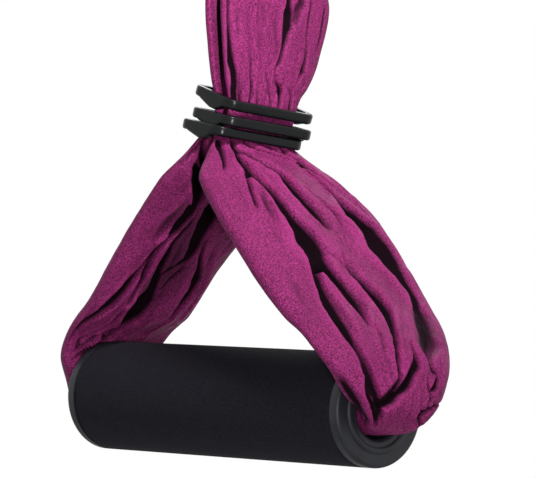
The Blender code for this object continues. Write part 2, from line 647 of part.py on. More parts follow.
def add_band_in_grip():
    """Add the stretch of the band that fills the tube, gathered into lengthwise folds."""
    end = BAND_IN_GRIP_END - SEAT
    around = 4 * BAND_GRIP_FOLDS
    rings = []
    for x in (-end, -end / 3, end / 3, end):
        ring = []
        for i in range(around):
            angle = math.tau * i / around
            fold = BAND_GRIP_FOLD_DEPTH * abs(math.cos(angle * BAND_GRIP_FOLDS / 2))
            radius = BAND_GRIP_RADIUS - fold
            ring.append(Vector((x, radius * math.cos(angle), GRIP_Z + radius * math.sin(angle))))
        rings.append(ring)
    add_piece("band_in_grip", loft(rings), cloth(), SWING_CENTRE)


def main():
    clear_scene()
    add_hook()
    add_upper_band()
    add_rings()
    add_leg("band_leg_right", 1, LEG_RIGHT_WIDTH, LEG_RIGHT_FRONT_SHARES, LEG_RIGHT_BACK_SHARES,
            LEG_RIGHT_THICK_SHARES, LEG_RIGHT_OUTER_SHARES, LEG_RIGHT_INNER_SHARES)
    add_leg("band_leg_left", -1, LEG_LEFT_WIDTH, LEG_LEFT_FRONT_SHARES, LEG_LEFT_BACK_SHARES,
            LEG_LEFT_THICK_SHARES, LEG_LEFT_OUTER_SHARES, LEG_LEFT_INNER_SHARES)
    add_band_in_grip()
    add_grip()


main()
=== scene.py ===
"""Finished look of a yoga trapeze hand grip: gathered nylon band, moulded rings, foam grip, snap hook."""

import json
import math

import bmesh
import bpy
import numpy as np
from mathutils import Matrix, Vector, noise


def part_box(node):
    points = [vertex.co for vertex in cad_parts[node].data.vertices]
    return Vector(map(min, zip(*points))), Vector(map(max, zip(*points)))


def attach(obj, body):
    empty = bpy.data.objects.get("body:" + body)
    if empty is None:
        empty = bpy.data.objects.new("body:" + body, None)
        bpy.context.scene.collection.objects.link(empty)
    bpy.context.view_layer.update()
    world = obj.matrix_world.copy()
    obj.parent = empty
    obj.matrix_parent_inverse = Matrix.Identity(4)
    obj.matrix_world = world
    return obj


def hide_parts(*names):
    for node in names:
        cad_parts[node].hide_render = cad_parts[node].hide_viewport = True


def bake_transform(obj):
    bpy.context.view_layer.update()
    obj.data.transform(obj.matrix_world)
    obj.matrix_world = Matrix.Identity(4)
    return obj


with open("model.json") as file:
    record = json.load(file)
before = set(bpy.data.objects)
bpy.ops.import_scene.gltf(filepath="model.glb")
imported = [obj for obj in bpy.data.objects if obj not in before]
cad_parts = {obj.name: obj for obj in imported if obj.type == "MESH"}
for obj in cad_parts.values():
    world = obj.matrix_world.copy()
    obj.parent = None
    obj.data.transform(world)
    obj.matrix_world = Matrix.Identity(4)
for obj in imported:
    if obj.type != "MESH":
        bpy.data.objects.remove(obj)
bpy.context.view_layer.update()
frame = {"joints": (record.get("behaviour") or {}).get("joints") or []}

bl_info = {
    "name": "Trapeze hand grip",
    "version": (1, 0, 0),
    "blender": (4, 5, 0),
    "location": "3D View > Sidebar > Hand grip",
    "description": "Builds the finished pieces of a yoga trapeze hand grip over its frame",
    "category": "Add Mesh",
}

MM = 0.001


def place_of(joint_name):
    """Return where a joint of the frame sits."""
    return Vector(next(j["pos_m"] for j in frame["joints"] if j["name"] == joint_name))


GRIP_CENTRE = place_of("grip_spin")
BAR_CENTRE = place_of("band_swing")
GATE_PIVOT = place_of("gate_swing")
FOAM_LOW, FOAM_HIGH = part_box("foam_grip")
CAP_LOW, CAP_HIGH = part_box("end_cap_right")
RING_SHIFT = sum(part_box("ring_bottom"), Vector()) / 2
UPPER_LOW_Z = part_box("band_upper")[0].z
MOUTH_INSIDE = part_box("band_in_grip")[1].x


def linear(hex_colour):
    """Turn a hex sRGB colour into linear red, green and blue."""
    channels = [int(hex_colour[i:i + 2], 16) / 255 for i in (1, 3, 5)]
    return tuple(c / 12.92 if c <= 0.04045 else ((c + 0.055) / 1.055) ** 2.4 for c in channels)


def paint(colour, factor=1.0):
    """Return a colour, made darker or lighter, with its opacity."""
    return (*(min(c * factor, 1.0) for c in colour), 1.0)


class GripSizes(bpy.types.PropertyGroup):
    """Sizes of the finished pieces."""

    foam_diameter: bpy.props.FloatProperty(
        name="Foam diameter", description="Outside diameter of the foam sleeve",
        default=FOAM_HIGH.z - FOAM_LOW.z + 0.5 * MM, unit="LENGTH")
    foam_bore: bpy.props.FloatProperty(
        name="Foam bore", description="Inside diameter of the foam sleeve",
        default=0.0246, unit="LENGTH")
    foam_edge: bpy.props.FloatProperty(
        name="Foam edge", description="Rounding at the ends of the foam sleeve",
        default=0.0014, unit="LENGTH")
    leg_right_width: bpy.props.FloatProperty(
        name="Right leg width", description="Greatest width of the right leg of the band",
        default=0.063, unit="LENGTH")
    leg_left_width: bpy.props.FloatProperty(
        name="Left leg width", description="Greatest width of the left leg of the band",
        default=0.050, unit="LENGTH")
    leg_thickness: bpy.props.FloatProperty(
        name="Leg thickness", description="Greatest thickness of a gathered leg",
        default=0.015, unit="LENGTH")
    upper_width: bpy.props.FloatProperty(
        name="Upper band width", description="Greatest width of the band above the rings",
        default=0.044, unit="LENGTH")
    flat_width: bpy.props.FloatProperty(
        name="Flat band width", description="Width that the cloth band was cut to",
        default=0.082, unit="LENGTH")
    crinkle: bpy.props.FloatProperty(
        name="Crinkle height", description="Height of the fine creases in the cloth",
        default=0.0009, unit="LENGTH")
    hook_wire: bpy.props.FloatProperty(
        name="Hook wire", description="Diameter of the snap hook's wire",
        default=0.008, unit="LENGTH")
    hook_bend: bpy.props.FloatProperty(
        name="Hook bend", description="Radius of the hook's two bends, to the middle of the wire",
        default=0.015, unit="LENGTH")
    tongue: bpy.props.FloatProperty(
        name="Tongue thickness", description="Thickness of the hook's flat tongues",
        default=0.003, unit="LENGTH")
    gate_bore: bpy.props.FloatProperty(
        name="Gate bore", description="Diameter of the bore that holds the gate's spring",
        default=0.0048, unit="LENGTH")
    spring_wire: bpy.props.FloatProperty(
        name="Spring wire", description="Diameter of the gate spring's wire",
        default=0.0007, unit="LENGTH")


class GripColours(bpy.types.PropertyGroup):
    """Colours of the finished pieces."""

    cloth: bpy.props.FloatVectorProperty(
        name="Cloth", description="Colour of the nylon band",
        default=linear("#852961"), subtype="COLOR", size=3, min=0, max=1)
    # painted shade: the dark colour laid over the nylon deep in its folds, where they lie in shadow
    cloth_painted_shade: bpy.props.FloatVectorProperty(
        name="Cloth in folds", description="Colour of the nylon deep in its folds",
        default=linear("#14050E"), subtype="COLOR", size=3, min=0, max=1)
    foam: bpy.props.FloatVectorProperty(
        name="Foam", description="Colour of the foam sleeve",
        default=linear("#1D1C22"), subtype="COLOR", size=3, min=0, max=1)
    rings: bpy.props.FloatVectorProperty(
        name="Rings", description="Colour of the moulded rings",
        default=paint(linear("#151718"), 0.6)[:3], subtype="COLOR", size=3, min=0, max=1)
    caps: bpy.props.FloatVectorProperty(
        name="Caps", description="Colour of the moulded end caps",
        default=linear("#202126"), subtype="COLOR", size=3, min=0, max=1)
    tube: bpy.props.FloatVectorProperty(
        name="Tube", description="Colour of the plastic tube in the grip",
        default=linear("#8C8C8E"), subtype="COLOR", size=3, min=0, max=1)
    steel: bpy.props.FloatVectorProperty(
        name="Zinc-plated steel", description="Colour of the snap hook",
        default=linear("#8E9093"), subtype="COLOR", size=3, min=0, max=1)
    floor: bpy.props.FloatVectorProperty(
        name="Floor", description="Colour of the floor",
        default=linear("#E9E9E9"), subtype="COLOR", size=3, min=0, max=1)


def empty_tree(owner):
    """Return the emptied node tree of a material or a world."""
    owner.use_nodes = True
    owner.node_tree.nodes.clear()
    return owner.node_tree


def node(tree, kind, inputs=None, **settings):
    """Add a node with its settings and links, and return its outputs.

    Each input gets a value or a link, and one that is None keeps its default.
    """
    added = tree.nodes.new(kind)
    for option, value in settings.items():
        setattr(added, option, value)
    for name, value in (inputs or {}).items():
        if isinstance(value, bpy.types.NodeSocket):
            tree.links.new(value, added.inputs[name])
        elif value is not None:
            added.inputs[name].default_value = value
    return added.outputs


def tinted(tree, tone, colour, share, pattern, low, high):
    """Return a tone with a share of a colour over it where a pattern goes from low to high."""
    there = node(tree, "ShaderNodeMapRange", {"Value": pattern, "From Min": low, "From Max": high})["Result"]
    amount = node(tree, "ShaderNodeMath", {0: there, 1: share}, operation="MULTIPLY")["Value"]
    return node(tree, "ShaderNodeMix", {0: amount, 6: tone, 7: colour}, data_type="RGBA")[2]


def cloth_look(tree, colours):
    """Thin crinkled nylon: fine plain weave, soft creases, a satin sheen, painted shade in its folds and
    creases, and painted highlights on crests.
    """
    flat = node(tree, "ShaderNodeUVMap", uv_map="cloth")["UV"]
    # painted shade from the depth of the folds, below zero a painted highlight on crests
    deep = node(tree, "ShaderNodeAttribute", attribute_name="painted_fold_shade")["Fac"]
    space = node(tree, "ShaderNodeTexCoord")["Object"]
    # the threads lie about 0.3 mm apart, too fine to show, so their grain is drawn at 0.45 mm
    # crinkles are 2.6 mm across, and the dye is a little cloudy over 15 mm
    grain, crinkle, cloud = (
        node(tree, "ShaderNodeTexNoise", {"Vector": space, "Scale": 1 / (size_mm * MM), "Detail": detail,
                                          "Roughness": roughness})["Fac"]
        for size_mm, detail, roughness in ((0.45, 2.0, 0.6), (2.6, 5.0, 0.62), (15, 2.0, 0.5)))
    # the ribs of the weave are drawn 2 mm apart for the same reason as the grain
    warp, weft = (
        node(tree, "ShaderNodeTexWave", {"Vector": flat, "Scale": 1 / (6.6 * MM), "Distortion": 1.2},
             bands_direction=way)["Fac"]
        for way in "XY")
    weave = node(tree, "ShaderNodeMath", {0: warp, 1: weft}, operation="MULTIPLY")["Value"]
    # long creases, about 3 mm apart, run with the band
    stretch = (1 / (3 * MM), 1 / (20 * MM), 1.0)
    run = node(tree, "ShaderNodeMapping", {"Vector": flat, "Scale": stretch})["Vector"]
    crease = node(tree, "ShaderNodeTexNoise", {"Vector": run, "Scale": 1.0, "Detail": 3.0,
                                               "Distortion": 0.6})["Fac"]
    # folds get painted shade that darkens with their depth, the valleys of the long creases get painted shade
    # too, and crests, which lie above the cloth round them, get a painted highlight
    shade = node(tree, "ShaderNodeMapRange", {"Value": deep, "From Min": 0.05, "From Max": 0.34})["Result"]
    light, dark = paint(colours.cloth, 1.9), paint(colours.cloth, 0.32)
    tone = dark
    for colour, share, pattern, low, high in (
        (light, 1.0, grain, 0.33, 0.67),
        # painted shade in the valleys of the long creases
        (dark, 0.5, crease, 0.42, 0.28),
        (dark, 0.35, cloud, 0.3, 0.75),
        (paint(colours.cloth_painted_shade), 1.0, shade, 0.0, 1.0),
        # painted highlight on the crests of the folds
        (light, 0.4, deep, 0.0, -0.22),
    ):
        tone = tinted(tree, tone, colour, share, pattern, low, high)
    normal = None
    for height, height_mm, strength in (
        (crinkle, 0.7, 0.4), (crease, 0.9, 0.45), (grain, 0.4, 0.8), (weave, 0.05, 0.35),
    ):
        normal = node(tree, "ShaderNodeBump", {"Height": height, "Distance": height_mm * MM,
                                               "Strength": strength, "Normal": normal})["Normal"]
    satin = node(tree, "ShaderNodeMapRange", {"Value": crinkle, "To Min": 0.42, "To Max": 0.62})["Result"]
    return {
        "Base Color": tone,
        "Roughness": node(tree, "ShaderNodeMath", {0: satin, 1: shade}, operation="MAXIMUM")["Value"],
        "Specular IOR Level": 0.08,
        "Sheen Weight": 0.03,
        "Sheen Roughness": 0.35,
        "Sheen Tint": paint(linear("#E59AD0")),
        "Normal": normal,
    }


def foam_look(tree, colours):
    """Closed-cell foam: matt black skin with a fine pebble and faint scuffs."""
    space = node(tree, "ShaderNodeTexCoord")["Object"]
    cells = node(tree, "ShaderNodeTexVoronoi", {"Vector": space, "Scale": 1 / (0.75 * MM)})["Distance"]
    pebble, wear = (
        node(tree, "ShaderNodeTexNoise", {"Vector": space, "Scale": 1 / (size_mm * MM), "Detail": detail,
                                          "Roughness": roughness})["Fac"]
        for size_mm, detail, roughness in ((0.5, 4.0, 0.5), (9, 5.0, 0.6)))
    pale = paint(colours.foam, 1.9)
    tone = tinted(tree, paint(colours.foam), pale, 1.0, pebble, 0.35, 0.75)
    normal = None
    for height, height_mm, strength in ((cells, 0.12, 0.5), (pebble, 0.10, 0.6)):
        normal = node(tree, "ShaderNodeBump", {"Height": height, "Distance": height_mm * MM,
                                               "Strength": strength, "Normal": normal})["Normal"]
    return {
        "Base Color": tinted(tree, tone, pale, 0.5, wear, 0.55, 0.8),
        "Roughness": 0.86,
        "Specular IOR Level": 0.04,
        "Sheen Weight": 0.01,
        "Normal": normal,
    }


def plastic_look(tree, colour, roughness, gloss, pebble_mm, pebble_strength):
    """Moulded plastic with a spark-eroded grain and faint smears."""
    space = node(tree, "ShaderNodeTexCoord")["Object"]
    smear, pebble = (
        node(tree, "ShaderNodeTexNoise", {"Vector": space, "Scale": 1 / (size_mm * MM),
                                          "Detail": detail})["Fac"]
        for size_mm, detail in ((7, 4.0), (pebble_mm, 3.0)))
    return {
        "Base Color": tinted(tree, paint(colour), paint(colour, 1.5), 1.0, smear, 0.35, 0.75),
        "Roughness": node(tree, "ShaderNodeMapRange", {"Value": smear, "To Min": roughness * 0.8,
                                                       "To Max": roughness * 1.25})["Result"],
        "Specular IOR Level": gloss,
        "Normal": node(tree, "ShaderNodeBump", {"Height": pebble, "Distance": 0.06 * MM,
                                                "Strength": pebble_strength})["Normal"],
    }


def steel_look(tree, colours):
    """Zinc-plated steel: bright, faintly mottled, with a fine grain."""
    space = node(tree, "ShaderNodeTexCoord")["Object"]
    mottle, grain = (
        node(tree, "ShaderNodeTexNoise", {"Vector": space, "Scale": 1 / (size_mm * MM),
                                          "Detail": detail})["Fac"]
        for size_mm, detail in ((3, 5.0), (0.3, 2.0)))
    return {
        "Base Color": tinted(tree, paint(colours.steel, 0.8), paint(colours.steel), 1.0, mottle, 0.3, 0.7),
        "Metallic": 1.0,
        "Roughness": node(tree, "ShaderNodeMapRange", {"Value": mottle, "To Min": 0.58,
                                                       "To Max": 0.7})["Result"],
        "Normal": node(tree, "ShaderNodeBump", {"Height": grain, "Distance": 0.02 * MM,
                                                "Strength": 0.3})["Normal"],
    }


def floor_look(tree, colours):
    """A pale floor that keeps the object's shadow but shows the camera the background's tone."""
    eye = node(tree, "ShaderNodeLightPath")["Is Camera Ray"]
    glow = node(tree, "ShaderNodeMath", {0: eye, 1: FLOOR_GLOW}, operation="MULTIPLY")["Value"]
    pale = paint(colours.floor)
    return {"Base Color": pale, "Roughness": 0.8, "Emission Color": pale, "Emission Strength": glow}


FINISHES = {
    "plum_nylon": cloth_look,
    "black_foam": foam_look,
    "zinc_plated_steel_look": steel_look,
    "cap_plastic": lambda tree, colours: plastic_look(tree, colours.caps, 0.44, 0.28, 0.35, 0.5),
    "ring_plastic": lambda tree, colours: plastic_look(tree, colours.rings, 0.19, 0.15, 0.6, 0.2),
    "tube_plastic": lambda tree, colours: plastic_look(tree, colours.tube, 0.4, 0.5, 0.5, 0.2),
    "pale_floor": floor_look,
}


def new_material(name):
    """Return the material with one of the finishes."""
    material = bpy.data.materials.new(name)
    tree = empty_tree(material)
    shader = node(tree, "ShaderNodeBsdfPrincipled", FINISHES[name](tree, bpy.context.scene.grip_colours))
    node(tree, "ShaderNodeOutputMaterial", {"Surface": shader["BSDF"]})
    return material


def put_finish(piece, name):
    """Give a piece its finish, made once."""
    finish = bpy.data.materials.get(name) or new_material(name)
    piece.data.materials.clear()
    piece.data.materials.append(finish)


def through(stations, values, at):
    """Read a smooth curve through given values, with no overshoot between them."""
    x, y = np.array(stations, float), np.array(values, float)
    at = np.clip(at, x[0], x[-1])
    step = np.diff(x)
    rise = np.diff(y) / step
    slope = np.zeros_like(y)
    same = rise[:-1] * rise[1:] > 0
    slope[1:-1][same] = 2 * rise[:-1][same] * rise[1:][same] / (rise[:-1] + rise[1:])[same]
    slope[-1] = rise[-1]
    i = np.clip(np.searchsorted(x, at, side="right") - 1, 0, len(step) - 1)
    t = (at - x[i]) / step[i]
    start, end, gain = slope[i] * step[i], slope[i + 1] * step[i], y[i + 1] - y[i]
    return y[i] + t * start + t * t * (3 * gain - 2 * start - end) + t ** 3 * (start + end - 2 * gain)


def smooth_step(value):
    """Ease a 0 to 1 value at both ends."""
    value = np.clip(value, 0, 1)
    return value * value * (3 - 2 * value)


# A fold's front is steep and its back runs out slowly: how far each goes, as shares of the fold's reach
FOLD_FRONT, FOLD_BACK = 0.75, 1.35
# A fold that slants over the cloth reaches further across it, up to this much
GREATEST_SLANT = 2.2
# A fold's floor is flat to this share of its reach, and a sharp crease takes this share of its depth
FLOOR_SHARE, CREASE_SHARE = 0.28, 0.25
# How far a fold pulls the cloth over itself, and how high its two crests stand, as shares of its depth
PULL_SHARE, FRONT_CREST, BACK_CREST = 0.22, 0.15, 0.07
# Crests only stand where the cloth isn't sunk by more than this, in millimetres
CREST_LIMIT_MM = 0.4


def fold_field(folds, along, across, width_mm, length_mm):
    """Return how far the folds sink the cloth and lean sideways, in millimetres.

    Each fold is rows of (along, across, depth, reach to each side), the first two in thousandths.
    """
    sink = np.zeros((len(along), len(across)))
    lean = np.zeros_like(sink)
    rim = np.zeros_like(sink)
    for rows in folds:
        table = np.array(rows) / (1000, 1000, 1, 1)
        inside = (along >= table[0, 0]) & (along <= table[-1, 0])
        at = along[inside]
        centre, depth, reach = (through(table[:, 0], table[:, k], at)[:, None] for k in (1, 2, 3))
        away = (across[None, :] - centre) * width_mm[inside][:, None]
        slant = np.gradient(centre[:, 0] * width_mm[inside], at * length_mm)
        reach = reach * np.minimum(np.sqrt(1 + slant ** 2), GREATEST_SLANT)[:, None]
        edge = reach * np.where(away < 0, FOLD_FRONT, FOLD_BACK)
        share = np.clip(np.abs(away) / edge, 0, 1)
        hollow = 1 - smooth_step((share - FLOOR_SHARE) / (1 - FLOOR_SHARE))
        dip = CREASE_SHARE * (1 - share) ** 2 + (1 - CREASE_SHARE) * hollow
        sink[inside] = np.maximum(sink[inside], depth * dip) + 0.25 * np.minimum(sink[inside], depth * dip)
        lean[inside] += PULL_SHARE * depth * dip
        crest = depth * np.exp(-((np.abs(away) - 1.15 * edge) / (0.5 * edge)) ** 2)
        rim[inside] = np.maximum(rim[inside], crest * np.where(away < 0, FRONT_CREST, BACK_CREST))
    return sink - rim * (sink < CREST_LIMIT_MM), lean


def fold_shade(sink, across, width_mm):
    """Return how dark each spot lies: its depth, less a quarter of the mean depth within 3 mm of it."""
    shade = np.zeros_like(sink)
    for i, row in enumerate(sink):
        place = across * width_mm[i]
        total = np.concatenate([[0.0], np.cumsum(0.5 * (row[1:] + row[:-1]) * np.diff(place))])
        low, high = (np.clip(place + step, place[0], place[-1]) for step in (-3.0, 3.0))
        mean = (np.interp(high, place, total) - np.interp(low, place, total)) / (high - low)
        shade[i] = row - 0.25 * mean
    return shade


def inner_pleats(share, room, pleats):
    """Return how deep the hidden pleats of the inside layers cut in, in the room they have."""
    return room * np.abs(np.sin(math.pi * pleats * share)) ** 0.7


def wrinkles(along_mm, across_mm, seed):
    """Return creases that run mostly along the cloth, with crumples between them, from about -1 to 1."""
    field = np.zeros((len(along_mm), len(across_mm)))
    for i, s in enumerate(along_mm):
        for j, a in enumerate(across_mm):
            drift = 3.0 * noise.noise((s / 22, a / 18, seed))
            long_crease = abs(noise.noise(((a + drift) / 4.2, s / 34, seed + 3)))
            crumple = abs(noise.noise(((a - drift) / 5.5, (s + 2 * drift) / 12, seed + 11)))
            fine = noise.noise(((a + drift) / 1.6, s / 5, seed + 7))
            field[i, j] = 0.8 * (0.25 - long_crease) + 0.6 * (0.25 - crumple) + 0.3 * fine
    return field


def distances(points):
    """Return how far each of a row of points lies along the row."""
    steps = np.linalg.norm(np.diff(np.array(points), axis=0), axis=1)
    return np.concatenate([[0.0], np.cumsum(steps)])


def grid_faces(rows, columns, closed):
    """Return the four-sided faces between rows of vertices, closed round each row or open."""
    return [
        (i * columns + j, i * columns + (j + 1) % columns,
         (i + 1) * columns + (j + 1) % columns, (i + 1) * columns + j)
        for i in range(rows - 1) for j in range(columns if closed else columns - 1)
    ]


def cloth_piece(name, mesh, columns, place_on_cloth):
    """Finish a mesh as a piece of cloth: its flat map in metres, its shading and its nylon."""
    layer = mesh.uv_layers.new(name="cloth")
    for loop in mesh.loops:
        layer.data[loop.index].uv = place_on_cloth(*divmod(loop.vertex_index, columns))
    mesh.shade_smooth()
    piece = bpy.data.objects.new(name, mesh)
    bpy.context.collection.objects.link(piece)
    put_finish(piece, "plum_nylon")
    return piece


def cloth_bundle(name, rings, painted_shades):
    """Skin closed sections into a gathered piece of cloth, with its painted fold shade, and return its length
    too.
    """
    rows, around = rings.shape[:2]
    mesh = bpy.data.meshes.new(name)
    ends = [tuple(range(around))[::-1], tuple((rows - 1) * around + j for j in range(around))]
    mesh.from_pydata(rings.reshape(-1, 3).tolist(), [], grid_faces(rows, around, True) + ends)
    shape = bmesh.new()
    shape.from_mesh(mesh)
    if shape.calc_volume(signed=True) < 0:
        bmesh.ops.reverse_faces(shape, faces=shape.faces)
    shape.to_mesh(mesh)
    shape.free()
    # painted shade: how dark each point of the cloth is painted in its folds, and how light on crests
    attribute = mesh.attributes.new("painted_fold_shade", "FLOAT", "POINT")
    attribute.data.foreach_set("value", painted_shades.reshape(-1).astype(np.float32))
    steps = np.linalg.norm(np.roll(rings, -1, axis=1) - rings, axis=2)
    girth = np.concatenate([np.zeros((rows, 1)), np.cumsum(steps, axis=1)], axis=1)
    run = distances(rings.mean(axis=1))
    piece = cloth_piece(name, mesh, around, lambda row, column: (girth[row, column], run[row]))
    return piece, float(run[-1])


# Where a leg runs, as shares: along it, out to the mouth, and down to the grip's axis
LEG_ALONG = (0.0, 0.06, 0.15, 0.31, 0.46, 0.60, 0.715, 0.80, 0.88, 0.93, 0.965, 1.0)
LEG_OUT = (0.0, 0.06, 0.21, 0.43, 0.65, 0.85, 1.03, 1.150, 1.185, 1.150, 1.09, 1.0)
LEG_DOWN = (0.0, 0.08, 0.19, 0.345, 0.51, 0.66, 0.765, 0.872, 0.97, 1.01, 1.0, 1.0)
# Its half widths to the front and back, then its half thickness outside and inside, as shares of the greatest
LEG_SHAPE = {
    "right": (
        (0.42, 0.62, 0.94, 1.0, 0.99, 0.93, 0.90, 0.77, 0.57, 0.37, 0.255, 0.245),
        (0.42, 0.66, 0.92, 1.045, 1.045, 1.02, 0.87, 0.67, 0.49, 0.34, 0.255, 0.245),
        (0.38, 0.56, 0.84, 1.04, 1.04, 1.02, 1.0, 0.96, 0.86, 0.80, 0.95, 1.0),
    ),
    "left": (
        (0.53, 0.69, 0.84, 0.83, 0.80, 0.77, 0.73, 0.63, 0.41, 0.34, 0.31, 0.305),
        (0.53, 0.78, 1.04, 0.94, 0.86, 0.87, 0.85, 0.76, 0.56, 0.40, 0.32, 0.305),
        (0.38, 0.42, 0.55, 0.75, 0.82, 0.84, 0.88, 0.88, 0.90, 0.90, 0.98, 1.0),
    ),
}
LEG_INNER = (0.36, 0.45, 0.62, 0.80, 0.80, 0.62, 0.12, 0.50, 0.78, 0.96, 1.0, 1.0)

